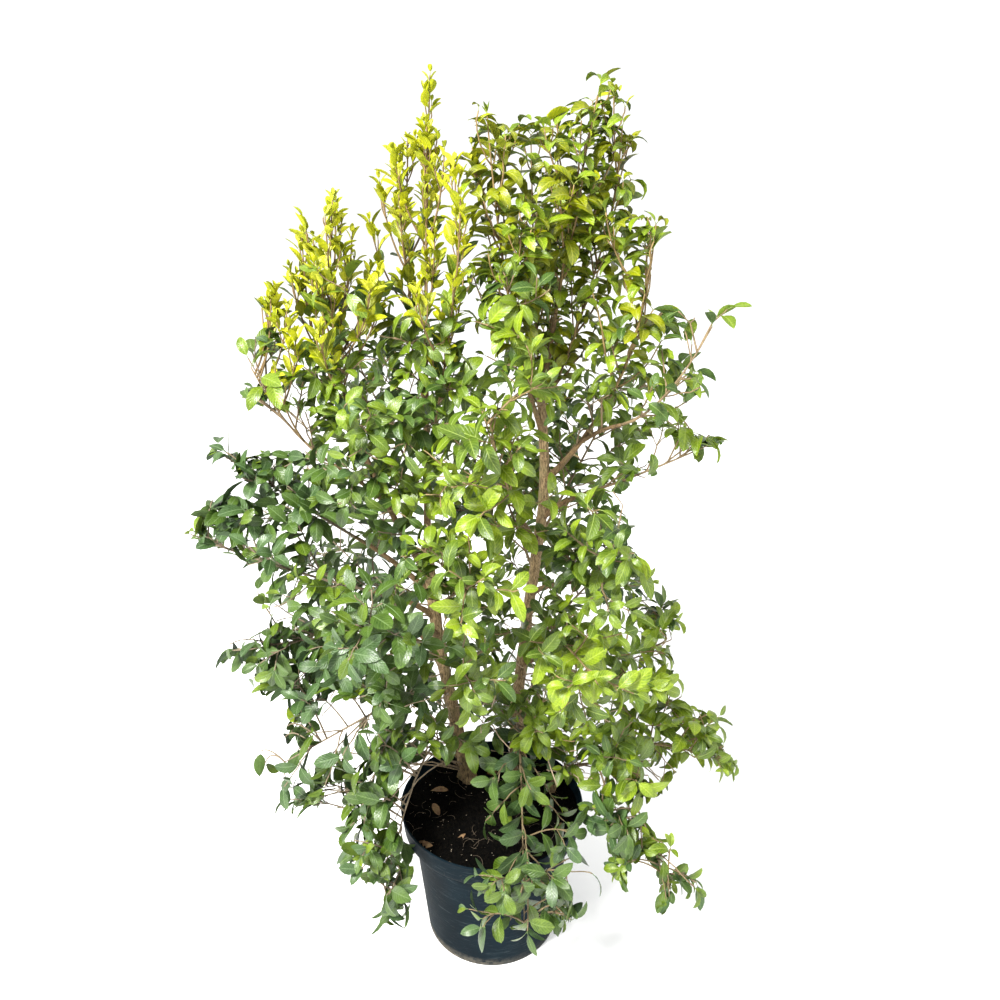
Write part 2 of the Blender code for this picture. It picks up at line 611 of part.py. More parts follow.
def add_leaves(mass, twigs, room, rng):
    """Leaves in opposite pairs along each twig, and one at its tip."""
    habit = HABITS[mass.habit]
    length = LEAF_LENGTH * mass.leaf_scale
    leaves = []
    taken = np.empty((0, 3))
    for number, twig in enumerate(twigs):
        first = LEAVES_FROM_ON_STEM if number == 0 else LEAVES_FROM_ON_SHOOT
        pairs = max(1, round(twig.length * (1 - first) / (LEAF_SPACING * mass.leaf_scale)))
        side = unit(np.cross(twig.tangents[0], FIRST_LEAF_SIDE))
        places = [(TIP_LEAF_AT, 0, TIP_LEAF_ANGLE)]
        for pair in range(pairs):
            share = LEAVES_TO - (LEAVES_TO - first) * pair / pairs
            places += [(share, 90 * pair + half, habit.leaf_angle) for half in (0, 180)]
        others = [other for other in twigs if other is not twig]
        for share, turn, opening in places:
            point, tangent, _ = twig.at(share)
            for attempt in range(TRIES):
                spread = LEAF_TURN + LEAF_TURN_STEP * attempt
                around = turned(unit(side - tangent * (side @ tangent)), tangent,
                                turn + rng.uniform(-spread, spread))
                angle = opening + rng.uniform(-LEAF_ANGLE_SPREAD, LEAF_ANGLE_SPREAD)
                along = turned(tangent, unit(np.cross(tangent, around)), angle)
                facing = turned(unit(tangent - along * (tangent @ along)), along,
                                rng.uniform(-LEAF_ROLL, LEAF_ROLL))
                leaf = Leaf(point, along, facing, length * rng.uniform(*LEAF_LENGTH_SPREAD))
                samples = leaf.samples()
                outer = samples[len(samples) // len(LEAF_SAMPLES):]
                if not room.holds(samples, LIMB_ROOM):
                    continue
                if len(taken) and np.linalg.norm(outer[:, None] - taken[None], axis=2).min() < LEAF_ROOM:
                    continue
                if any(other.distances(outer).min() < LIMB_ROOM for other in others):
                    continue
                taken = np.vstack((taken, outer))
                leaves.append(leaf)
                break
    return leaves


def is_closed(item):
    """Whether each edge of the evaluated mesh lies between just two faces."""
    graph = bpy.context.evaluated_depsgraph_get()
    bm = bmesh.new()
    bm.from_mesh(item.evaluated_get(graph).data)
    bmesh.ops.remove_doubles(bm, verts=bm.verts, dist=MERGE_DISTANCE)
    closed = all(len(edge.link_faces) == 2 for edge in bm.edges)
    bm.free()
    return closed


def lighten(item):
    """Joins the small faces that fusing leaves round each twig and leaf root."""
    thinning = item.modifiers.new("thinning", "DECIMATE")
    thinning.ratio = FACES_KEPT
    apply_modifiers(item)


def make_mass(number, mass, stems, limbs):
    """One mass of foliage: a stem with side shoots and leaves, fused into one body."""
    rng = np.random.default_rng(FIRST_SEED + number)
    stem = stems[mass.name]
    room = Room(mass, stems, list(limbs.values()))
    item = loft(mass.name, stem.rings())
    shoots = add_shoots(mass, stem, room, rng)
    leaves = add_leaves(mass, [stem] + shoots, room, rng)
    pieces = bpy.data.collections.new("pieces of " + mass.name)
    bpy.context.scene.collection.children.link(pieces)
    for shoot in shoots:
        loft("shoot", shoot.rings(), pieces)
    for leaf in leaves:
        leaf.body("leaf", pieces)
    fuse = item.modifiers.new("fuse", "BOOLEAN")
    fuse.operation = "UNION"
    fuse.operand_type = "COLLECTION"
    fuse.collection = pieces
    if not is_closed(item):
        fuse.solver = "MANIFOLD"
    apply_modifiers(item)
    for piece in list(pieces.objects):
        remove_object(piece)
    bpy.data.collections.remove(pieces)
    keep_main_body(item)
    if mass.leaves_at is not None:
        cut_clear(item, limbs[mass.parent], MASS_GAP)
    lighten(item)
    finish(item, mass.colour, LEAF_ROUGHNESS, sharp_angle=LEAF_SHARP_ANGLE)


def main():
    for item in list(bpy.data.objects):
        bpy.data.objects.remove(item)
    make_pot()
    make_soil()
    limbs = {}
    for trunk in TRUNKS:
        limbs[trunk.name] = make_trunk(trunk)
    for bough in BOUGHS:
        limbs[bough.name] = make_bough(bough, limbs[bough.parent])
    stems = {mass.name: stem_of(mass, limbs[mass.parent]) for mass in MASSES}
    for number, mass in enumerate(MASSES):
        make_mass(number, mass, stems, limbs)


main()
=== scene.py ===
"""A potted eugenia: the bark, twigs, leaves, soil and pot that are seen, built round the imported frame.

Metres, +Z up. The origin is the centre of the pot's flat underside, and the front is -Y.
Foliage grows by the frame's own rule, with the frame's own places, carried on to finer twigs.
"""
import json
import math
from collections import namedtuple
from itertools import combinations

import bpy
import numpy as np
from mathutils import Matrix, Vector, noise

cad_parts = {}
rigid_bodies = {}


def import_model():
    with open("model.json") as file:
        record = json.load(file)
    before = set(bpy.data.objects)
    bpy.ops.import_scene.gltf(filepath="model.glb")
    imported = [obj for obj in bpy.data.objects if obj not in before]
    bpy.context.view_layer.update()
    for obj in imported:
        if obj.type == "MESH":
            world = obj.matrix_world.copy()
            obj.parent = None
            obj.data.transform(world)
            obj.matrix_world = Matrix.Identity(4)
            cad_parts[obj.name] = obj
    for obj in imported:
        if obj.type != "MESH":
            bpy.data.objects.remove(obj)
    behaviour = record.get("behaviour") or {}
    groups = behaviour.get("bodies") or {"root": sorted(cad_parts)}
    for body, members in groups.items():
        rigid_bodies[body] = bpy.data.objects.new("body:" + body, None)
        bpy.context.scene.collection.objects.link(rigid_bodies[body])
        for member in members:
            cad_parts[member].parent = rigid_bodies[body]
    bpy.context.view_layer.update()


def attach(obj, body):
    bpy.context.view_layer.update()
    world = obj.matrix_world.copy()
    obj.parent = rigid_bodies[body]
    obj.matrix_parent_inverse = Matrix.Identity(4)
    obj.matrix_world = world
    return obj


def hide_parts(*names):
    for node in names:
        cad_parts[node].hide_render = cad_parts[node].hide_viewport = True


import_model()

# Pot and soil, as in the frame
POT_HEIGHT = 0.252
RIM_RADIUS = 0.150
BASE_RADIUS = 0.111
COLLAR_HEIGHT = 0.038
COLLAR_FOOT = POT_HEIGHT - COLLAR_HEIGHT
COLLAR_FOOT_RADIUS = 0.1455
WALL_TOP_RADIUS = 0.130
POT_WALL = 0.003
POT_CORNER = 0.003
POT_SIDES = 160
AXIS_GAP = 0.0005
SOIL_BELOW_RIM = 0.020
SOIL_DIP = 0.006
SOIL_LEVEL_RADIUS = 0.045
SOIL_CLEARANCE = 0.0042
SOIL_SIDES = 200
SOIL_RIPPLES = ((0.3, 71, 43), (0.2, -37, 95))
SOIL_RINGS = 80
SOIL_MIDDLE = 0.001
# Lumps and crumbs of the soil: their pitch, their place in the noise, and their height
SOIL_RELIEF = ((90, 0.3, 0.0022), (330, 5.1, 0.0014))

# Limbs
GAP = 0.0003
FOOT_CROWDING = 1.5
FLARE_HEIGHT = 0.022
FLARE_LOBES = 3
FLARE_LOBE_DEPTH = 0.18
TRUNK_RINGS = 10
BOUGH_RINGS = 5

# Bark: rings, how far a trunk goes on into the soil, and its relief, each part of which has its share, the size of
# its lumps round the limb, its pitch along the limb, and what it adds to the seed
BARK_TRUNK_RINGS = 60
BARK_BOUGH_RINGS = 30
LEAST_BARK_RINGS = 6
ROOTED = 0.004
BARK_SIDE = (0.31, 0.92, 0.24)
BARK_LUMPS = 2.2
BARK_RELIEF = ((1.0, 1.8, 38, 0), (0.6, 0.5, 26, 5), (0.6, 3.2, 190, 9))
RELIEF_SHIFTS = (17.3, -9.1, 4.7)
Bark = namedtuple("Bark", "sides step depth")
TRUNK_BARK = Bark(32, 0.0024, 0.17)
BOUGH_BARK = Bark(14, 0.0032, 0.09)
CUT_BARK = Bark(18, 0.0016, 0.16)
TRUNK_SEEDS = 1
BOUGH_SEEDS = 11
CUT_SEED = 31

# The collar at a bough's foot as a share of its radius, how far it runs in such radii, and how thick a bough may be
# against its parent
BRANCH_COLLAR = 0.55
BRANCH_COLLAR_RUN = 2.2
BOUGH_TO_PARENT = 0.93

# Stems and the spaces of masses, as in the frame
STEM_RADIUS = 0.0026
STEM_FOOT_SHARE = 0.95
STEM_RUN_ON = 0.4
STEM_RINGS = 5
FRAME_LEAF_LENGTH = 0.080
FRAME_LEAF_SHARE = 0.85
SPACE_TAPER = 0.45
TIP_ROOM = 0.008
LIMB_ROOM = 0.003
POT_ROOM = 0.003
FLOOR_ROOM = 0.02

# The camera's eye, its tilt down in degrees, and its focal length as a share of the picture's width
CAMERA_PLACE = (0.0137, -1.164, 1.304)
CAMERA_TILT = 23.7
CAMERA_FOCAL_SHARE = 0.9
SENSOR = 36.0
STUDIO_LIGHT = 1.12
LIT_PLACE = (0, 0, 0.6)
FLOOR_HALF = 12.0

SOIL_TOP = POT_HEIGHT - SOIL_BELOW_RIM
STEM_FOOT = SOIL_TOP + GAP
UP = np.array((0.0, 0.0, 1.0))

Trunk = namedtuple("Trunk", "name route foot_radius tip_radius flare")
Bough = namedtuple("Bough", "name parent leaves_at tip foot_radius tip_radius arch")
Habit = namedtuple("Habit", "shoot_angle shoot_share rise leaf_angle level droop turn")
Mass = namedtuple("Mass", "name parent leaves_at tip reach habit arch family")

TRUNKS = (
    Trunk("left_trunk",
          ((-0.043, 0.077, STEM_FOOT), (-0.060, 0.056, 0.37), (-0.082, 0.042, 0.53), (-0.095, 0.026, 0.71)),
          0.0108, 0.0085, 0.006),
    Trunk("right_trunk",
          ((0.042, 0.108, STEM_FOOT), (0.044, 0.108, 0.37), (0.058, 0.082, 0.56), (0.078, 0.052, 0.78),
           (0.070, 0.042, 0.95)),
          0.0112, 0.0060, 0.006),
    Trunk("third_stem",
          ((0.101, 0.049, STEM_FOOT), (0.110, 0.046, 0.252), (0.124, 0.040, 0.286)),
          0.0062, 0.0045, 0.003),
)

BOUGHS = (
    Bough("left_leader", "left_trunk", 0.690, (-0.085, 0.010, 1.000), 0.0058, 0.0032, 0.000),
    Bough("left_high_bough", "left_trunk", 0.655, (-0.180, -0.005, 0.890), 0.0056, 0.0032, -0.020),
    Bough("left_outer_bough", "left_high_bough", 0.830, (-0.215, 0.030, 0.930), 0.0030, 0.0024, -0.008),
    Bough("left_tier_bough", "left_high_bough", 0.780, (-0.215, -0.010, 0.850), 0.0032, 0.0024, 0.004),
    Bough("left_reach_bough", "left_trunk", 0.620, (-0.200, 0.030, 0.720), 0.0048, 0.0026, 0.007),
    Bough("left_mid_bough", "left_trunk", 0.580, (-0.180, -0.005, 0.650), 0.0044, 0.0026, 0.007),
    Bough("left_low_bough", "left_trunk", 0.510, (-0.165, 0.015, 0.560), 0.0044, 0.0026, 0.009),
    Bough("left_drop_bough", "left_trunk", 0.430, (-0.160, -0.025, 0.460), 0.0034, 0.0024, 0.014),
    Bough("left_front_bough", "left_trunk", 0.545, (-0.115, -0.060, 0.615), 0.0040, 0.0026, 0.006),
    Bough("left_back_bough", "left_trunk", 0.470, (-0.145, 0.125, 0.530), 0.0042, 0.0026, 0.007),
    Bough("right_leader", "right_trunk", 0.935, (0.088, 0.035, 1.050), 0.0046, 0.0030, -0.006),
    Bough("right_inner_bough", "right_trunk", 0.880, (0.045, 0.010, 0.980), 0.0042, 0.0026, -0.007),
    Bough("right_crown_back_bough", "right_trunk", 0.830, (0.080, 0.110, 0.930), 0.0044, 0.0026, -0.006),
    Bough("right_high_bough", "right_trunk", 0.800, (0.155, 0.010, 0.925), 0.0050, 0.0028, -0.010),
    Bough("right_arch_bough", "right_high_bough", 0.870, (0.175, -0.030, 0.915), 0.0032, 0.0024, 0.004),
    Bough("right_shoulder_bough", "right_trunk", 0.740, (0.150, 0.030, 0.795), 0.0044, 0.0026, 0.005),
    Bough("right_mid_bough", "right_trunk", 0.600, (0.120, -0.000, 0.660), 0.0042, 0.0026, 0.004),
    Bough("right_low_bough", "right_trunk", 0.455, (0.130, 0.040, 0.500), 0.0044, 0.0026, 0.006),
    Bough("right_back_bough", "right_trunk", 0.440, (0.125, 0.170, 0.515), 0.0042, 0.0026, 0.007),
    Bough("centre_bough", "right_trunk", 0.690, (0.045, -0.030, 0.775), 0.0044, 0.0028, 0.000),
    Bough("right_reach_bough", "third_stem", 0.274, (0.185, 0.030, 0.335), 0.0036, 0.0024, 0.009),
)

# Angles in degrees. Level is how far a blade turns its face to the sky, and droop how far its tip hangs.
# Turn is how strongly a shoot bends upright after it leaves its stem.
HABITS = {
    "spire": Habit(30, 0.95, 0.50, 30, 0.08, 0.03, 0.75),
    "crown": Habit(34, 0.80, 0.40, 58, 0.30, 0.12, 0.5),
    "spray": Habit(50, 0.66, 0.10, 54, 0.50, 0.22, 0.1),
    "drop": Habit(46, 0.62, -0.20, 54, 0.42, 0.34, 0.0),
}

MASSES = (
    Mass("left_spire", "left_leader", None, (-0.068, 0.010, 1.350), 0.100, "spire", 0.0, "flush"),
    Mass("left_inner_spires", "left_leader", 0.900, (-0.122, 0.055, 1.275), 0.100, "spire", -0.03, "flush"),
    Mass("left_front_spires", "left_leader", 0.840, (-0.030, -0.060, 1.190), 0.110, "spire", -0.03, "flush"),
    Mass("left_fan", "left_high_bough", None, (-0.185, -0.030, 1.215), 0.110, "spire", 0.0, "flush"),
    Mass("left_outer_spires", "left_outer_bough", None, (-0.240, 0.030, 1.165), 0.100, "spire", 0.0, "flush"),
    Mass("left_tier", "left_tier_bough", None, (-0.330, 0.000, 1.020), 0.150, "spray", 0.0, "middle"),
    Mass("left_reach", "left_reach_bough", None, (-0.400, 0.030, 0.865), 0.150, "spray", 0.0, "dark"),
    Mass("left_mid", "left_mid_bough", None, (-0.435, -0.010, 0.745), 0.150, "spray", 0.0, "dark"),
    Mass("left_low", "left_low_bough", None, (-0.435, 0.000, 0.525), 0.155, "drop", 0.0, "dark"),
    Mass("left_drop", "left_drop_bough", None, (-0.370, -0.060, 0.345), 0.145, "drop", 0.0, "dark"),
    Mass("left_foot", "left_trunk", 0.335, (-0.170, -0.160, 0.150), 0.135, "drop", 0.11, "dark"),
    Mass("left_front", "left_front_bough", None, (-0.170, -0.225, 0.730), 0.155, "spray", 0.0, "dark"),
    Mass("left_back", "left_back_bough", None, (-0.310, 0.290, 0.610), 0.160, "spray", 0.0, "dark"),
    Mass("left_back_high", "left_leader", 0.780, (-0.220, 0.230, 0.950), 0.155, "spray", 0.0, "middle"),
    Mass("right_spire", "right_leader", None, (0.139, 0.030, 1.347), 0.110, "crown", 0.0, "olive"),
    Mass("right_inner", "right_inner_bough", None, (-0.003, -0.020, 1.310), 0.110, "crown", 0.0, "olive"),
    Mass("right_crown", "right_trunk", 0.890, (0.052, 0.090, 1.310), 0.105, "crown", -0.07, "olive"),
    Mass("right_crown_back", "right_crown_back_bough", None, (0.110, 0.200, 1.230), 0.125, "crown", 0.0, "olive"),
    Mass("right_flank", "right_trunk", 0.910, (0.180, 0.060, 1.275), 0.115, "crown", -0.04, "olive"),
    Mass("right_high", "right_high_bough", None, (0.210, 0.010, 1.185), 0.130, "crown", 0.0, "olive"),
    Mass("right_arch", "right_arch_bough", None, (0.288, -0.040, 1.065), 0.135, "spray", 0.0, "middle"),
    Mass("right_shoulder", "right_shoulder_bough", None, (0.320, 0.000, 0.885), 0.150, "spray", 0.0, "middle"),
    Mass("right_mid", "right_mid_bough", None, (0.170, -0.120, 0.830), 0.155, "spray", 0.0, "middle"),
    Mass("right_low", "right_low_bough", None, (0.300, -0.010, 0.580), 0.155, "spray", 0.0, "bright"),
    Mass("right_front", "right_trunk", 0.540, (0.150, -0.190, 0.600), 0.155, "spray", 0.02, "bright"),
    Mass("right_back", "right_back_bough", None, (0.280, 0.310, 0.600), 0.160, "spray", 0.0, "dark"),
    Mass("right_back_high", "right_trunk", 0.700, (0.230, 0.240, 0.930), 0.160, "spray", 0.0, "middle"),
    Mass("centre", "centre_bough", None, (-0.012, -0.150, 0.990), 0.140, "spray", 0.0, "bright"),
    Mass("centre_mid", "left_trunk", 0.600, (0.000, -0.200, 0.780), 0.135, "spray", 0.0, "bright"),
    Mass("centre_low", "left_trunk", 0.500, (-0.015, -0.190, 0.590), 0.145, "spray", 0.02, "middle"),
    Mass("centre_back", "right_trunk", 0.640, (-0.010, 0.310, 0.760), 0.170, "spray", 0.0, "middle"),
    Mass("right_reach", "right_reach_bough", None, (0.405, 0.000, 0.315), 0.155, "drop", 0.0, "bright"),
    Mass("right_drop", "third_stem", 0.268, (0.275, -0.150, 0.190), 0.145, "drop", 0.11, "middle"),
    Mass("front_drop", "right_trunk", 0.330, (0.050, -0.215, 0.165), 0.145, "drop", 0.10, "front"),
)


def metres(*millimetres):
    return tuple(part / 1000 for part in millimetres)


# Upright spires between the masses' own, by the places of their tips in millimetres
SPIRES = {
    "flush": (
        (-99, 20, 1276), (-141, 50, 1227), (-196, -40, 1194), (-169, -10, 1168), (-158, 60, 1175), (-221, 0, 1162),
        (-261, 30, 1121), (-213, -50, 1137), (-195, -50, 1121), (-299, 20, 1073), (-253, -30, 1083),
        (-141, -60, 1116), (-88, -80, 1114), (-52, -10, 1266), (-40, -30, 1253), (-18, 20, 1258), (-32, -70, 1217),
        (-241, -50, 1051), (-210, -70, 1062), (-276, -40, 1007), (-232, 0, 1195), (-120, 110, 1190), (-190, 90, 1110),
        (-70, 90, 1240), (-79, 0, 1130), (-112, 10, 1215), (-150, 0, 1125), (-278, -10, 1090), (-135, -20, 1100),
        (-67, -10, 1165), (-188, -10, 1205), (-280, 0, 1100), (-78, 0, 1295), (-117, 10, 1262), (-74, 0, 1293),
        (-136, -20, 1123), (-274, 0, 1096), (-21, 0, 1269),
    ),
    "olive": (
        (21, 0, 1300), (82, 60, 1303), (165, 40, 1300), (111, 0, 1303), (85, -30, 1244), (135, 110, 1230),
        (40, -60, 1190), (164, 30, 1296), (150, 20, 1330), (62, 0, 1310), (115, -10, 1250), (-30, 0, 1140),
        (60, -50, 1210), (140, -20, 1200), (100, 50, 1180), (20, -40, 1150), (17, 0, 1295),
    ),
}

Spray = namedtuple("Spray", "tip habit family")


def sprays_at(*runs):
    """Sprays from runs of one habit and family, with the places of their tips in millimetres."""
    return [Spray(metres(*tip), habit, family) for habit, family, *tips in runs for tip in tips]


# Sprays that fill the crown between the masses. Each one's number is its seed, so the order stays.
SPRAYS = sprays_at(
    ("spray", "dark", (-207, -50, 929)), ("spray", "middle", (-146, -120, 926), (-115, -50, 956)),
    ("spray", "dark", (-176, -120, 846)), ("spray", "bright", (-87, -120, 873)),
    ("spray", "middle", (-116, -120, 789)), ("spray", "dark", (-243, -50, 815)),
    ("spray", "middle", (-253, 0, 968)), ("spray", "dark", (-155, 100, 749)),
    ("spray", "bright", (-65, -100, 779), (14, -80, 1041)), ("spray", "middle", (119, -30, 949)),
    ("spray", "bright", (87, -100, 1009)), ("spray", "middle", (147, 0, 968)),
    ("spray", "bright", (-11, -100, 971), (27, -80, 770)), ("spray", "middle", (90, -50, 724), (120, -50, 660)),
    ("spray", "dark", (-214, -100, 542), (-147, -120, 556), (-117, -80, 510)),
    ("spray", "middle", (-1, -100, 524), (72, -80, 492)),
    ("spray", "bright", (119, -60, 459), (165, -50, 451), (230, -20, 447)),
    ("spray", "middle", (189, -100, 454), (268, 20, 437)), ("drop", "dark", (-182, -120, 434), (-205, -140, 340)),
    ("drop", "front", (143, -200, 260)),
    ("spray", "middle", (-80, -60, 1020), (-180, -60, 1000), (-40, -20, 900), (20, 40, 1000), (-60, 130, 900),
     (80, 180, 800)),
    ("spray", "dark", (-100, 170, 700)), ("spray", "middle", (60, 200, 600), (-142, -40, 1082)),
    ("crown", "middle", (40, -80, 1080)), ("spray", "middle", (144, 0, 1035), (-112, -100, 919), (-109, -100, 837)),
    ("spray", "bright", (113, -80, 821)), ("spray", "middle", (91, -30, 737), (252, 0, 622)),
    ("drop", "dark", (-312, -30, 492), (-206, -160, 263)), ("spray", "bright", (331, -20, 443)),
    ("spray", "middle", (-213, -60, 918), (-185, 20, 1031), (-127, -30, 1016), (-44, -20, 1040)),
    ("spray", "bright", (218, -80, 510)),
)

# Short sprigs with leaves straight on them, at the edges and in the hollows of the crown. Each one's number is its
# seed here too.
SPRIGS = sprays_at(
    ("drop", "front", (131, -170, 160), (277, -150, 187), (159, -120, 304)),
    ("drop", "dark", (-219, -100, 304), (-212, -140, 252), (-128, -200, 224)), ("drop", "bright", (178, -150, 244)),
    ("spray", "bright", (194, -40, 449), (382, -20, 326)), ("drop", "dark", (-290, -60, 319), (-280, -40, 471)),
    ("spray", "bright", (405, -20, 330)), ("spray", "front", (327, -140, 211)),
    ("drop", "dark", (-160, -180, 167), (-193, -120, 262), (-375, -50, 356), (-339, -60, 305)),
    ("drop", "front", (-15, -220, 268), (-30, -220, 209), (64, -210, 247), (121, -170, 140)),
    ("spray", "middle", (-132, 0, 1046), (11, -40, 997)), ("spray", "bright", (28, -120, 768)),
    ("spray", "middle", (-35, -60, 975), (60, -60, 649)), ("spray", "dark", (-148, -50, 749)),
    ("spray", "bright", (39, -60, 941), (-72, -80, 818)),
    ("spray", "dark", (-435, -20, 738), (-395, 20, 865), (-365, -30, 784), (-442, 0, 522)),
    ("spray", "middle", (302, -30, 1076), (324, 0, 883), (-163, -20, 1022)), ("spray", "dark", (-347, -10, 648)),
    ("spray", "middle", (-10, -60, 964), (57, -40, 476)), ("spray", "bright", (258, -20, 626)),
    ("spray", "middle", (-336, 0, 944)), ("spray", "dark", (-291, -20, 857)), ("spray", "bright", (290, 0, 494)),
    ("drop", "dark", (-325, -50, 424)), ("spray", "middle", (235, 0, 1086), (275, -20, 984)),
    ("drop", "front", (153, -150, 328)), ("spray", "dark", (-381, 0, 790)),
    ("drop", "dark", (-362, -40, 340), (-329, -40, 394), (-251, -80, 307), (-197, -100, 332)),
    ("spray", "dark", (-400, -10, 560), (-287, -20, 707), (-169, -100, 395)), ("spray", "middle", (-93, -80, 440)),
    ("drop", "dark", (-125, -170, 211), (-161, -170, 184)), ("drop", "front", (127, -200, 220), (175, -170, 255)),
    ("drop", "bright", (266, -120, 270), (248, -80, 330)),
    ("spray", "middle", (95, -30, 940), (255, 0, 640), (247, 0, 1065), (278, 0, 910), (63, -80, 485),
     (-9, -30, 980)),
    ("spray", "dark", (-327, 0, 944)), ("spray", "middle", (17, -100, 615)), ("spray", "dark", (-320, 0, 1025)),
    ("spray", "middle", (-164, 0, 1035)), ("spray", "bright", (33, -100, 710)),
    ("spray", "middle", (125, -20, 915)), ("spray", "bright", (182, -80, 430)), ("spray", "middle", (40, 250, 480)),
    ("spray", "dark", (-60, 250, 430)), ("spray", "middle", (150, 240, 400)), ("drop", "dark", (-150, 220, 380)),
    ("drop", "middle", (10, 250, 310)), ("drop", "dark", (-100, 240, 280)), ("drop", "middle", (120, 235, 290)),
    ("spray", "middle", (-10, 280, 600)), ("spray", "dark", (-180, 240, 520)), ("spray", "middle", (190, 250, 520)),
    ("drop", "middle", (230, 180, 380)), ("drop", "dark", (-230, 180, 400)),
    ("spray", "middle", (60, 210, 920), (-100, 200, 1000)), ("drop", "dark", (-150, -100, 300)),
    ("spray", "dark", (-170, -80, 385)), ("spray", "middle", (-337, 0, 950)),
    ("spray", "dark", (-300, 20, 545), (-276, -20, 860), (-379, 0, 820), (-331, 0, 872)),
    ("drop", "dark", (-324, -60, 300)), ("spray", "dark", (-445, 0, 748)),
    ("spray", "middle", (-118, -40, 988), (-238, -20, 962)), ("spray", "dark", (-316, -30, 594), (-263, -40, 632)),
    ("drop", "dark", (-279, -60, 322)), ("spray", "middle", (284, 0, 984), (248, 0, 1065)),
    ("crown", "olive", (180, 0, 1137)), ("spray", "middle", (216, 0, 840)), ("spray", "bright", (42, -50, 922)),
    ("drop", "bright", (267, -120, 272)), ("drop", "front", (138, -160, 312), (152, -180, 224)),
    ("drop", "dark", (-127, -170, 204), (-170, -170, 176)), ("spray", "bright", (-28, -100, 715)),
    ("drop", "dark", (-215, -100, 224)), ("drop", "middle", (30, 225, 270)), ("drop", "dark", (-50, 230, 300)),
    ("drop", "middle", (90, 220, 340), (180, 160, 300)), ("spray", "dark", (-160, -60, 433)),
    ("drop", "dark", (-312, -40, 322), (-381, -20, 346)), ("spray", "dark", (-335, 0, 944)),
    ("spray", "middle", (-308, 0, 868)), ("drop", "front", (163, -170, 321)), ("spray", "middle", (284, 0, 976)),
    ("drop", "front", (129, -190, 184)), ("crown", "olive", (195, 20, 1161)), ("spray", "dark", (-355, 0, 575)),
    ("spray", "front", (320, -140, 205)), ("spray", "dark", (-388, 0, 799)), ("spray", "bright", (-27, -100, 766)),
    ("drop", "bright", (219, -130, 372)), ("drop", "dark", (-314, -20, 403)), ("drop", "front", (261, -150, 181)),
    ("spray", "dark", (-445, 0, 743)), ("drop", "dark", (-155, -170, 174)),
    ("spray", "bright", (363, 0, 380), (285, 0, 529)), ("spray", "dark", (-349, 10, 511)),
    ("crown", "middle", (-26, -20, 1078)), ("spray", "dark", (-340, 10, 865)), ("spray", "bright", (361, 0, 424)),
    ("spray", "middle", (305, 0, 882)), ("drop", "dark", (-289, -40, 375)), ("spray", "middle", (245, 0, 1059)),
    ("drop", "dark", (-192, -70, 439)), ("spray", "dark", (-393, 10, 807)), ("spray", "middle", (256, 0, 925)),
)

# A twig of its own: its foot's radius, how many leaf lengths short of its tip it stops, its room's reach and taper,
# the length of its shoots, where none is given a share of the reach, what they lose towards the tip, their spacing,
# and where they start
Single = namedtuple("Single", "radius stops_short reach taper shoot fall spacing first")
SINGLES = {
    "flush": Single(0.0016, 0.4, 0.050, 0.3, 0.036, 0.6, 0.055, 0.30),
    "olive": Single(0.0016, 0.4, 0.060, 0.3, 0.046, 0.6, 0.055, 0.30),
    "spray": Single(0.0017, 0.6, 0.105, 0.45, None, 0.5, 0.045, 0.15),
    "sprig": Single(0.0014, 0.6, 0.075, 0.2, 0.045, 0.5, 0.075, 0.35),
}
# How far a spray and a sprig arch where they stand out and where they hang
SINGLE_ARCHES = {"spray": (0.008, 0.03), "sprig": (0.006, 0.02)}
SPIRE_BEND = (0.80, 0.80, 0.35)

# Where twigs of their own leave their carriers
FEET_TRIED = 40
SPIRE_STEEPNESS = 1.5
SPIRE_RISE = 0.12
SPRAY_RISE = 0.02
SPRAY_NEAREST = 0.07
# What a place costs as a foot beside its distance from the tip: a spire that leans, a rise that falls short, a place
# that is too near, and a twig that would turn back on its carrier
LEANING_COST = 3
SPIRE_RISE_COST = 5
SPRAY_RISE_COST = 1.5
NEARNESS_COST = 5
TURNING_COST = 0.05
TURNING_FROM = 0.2

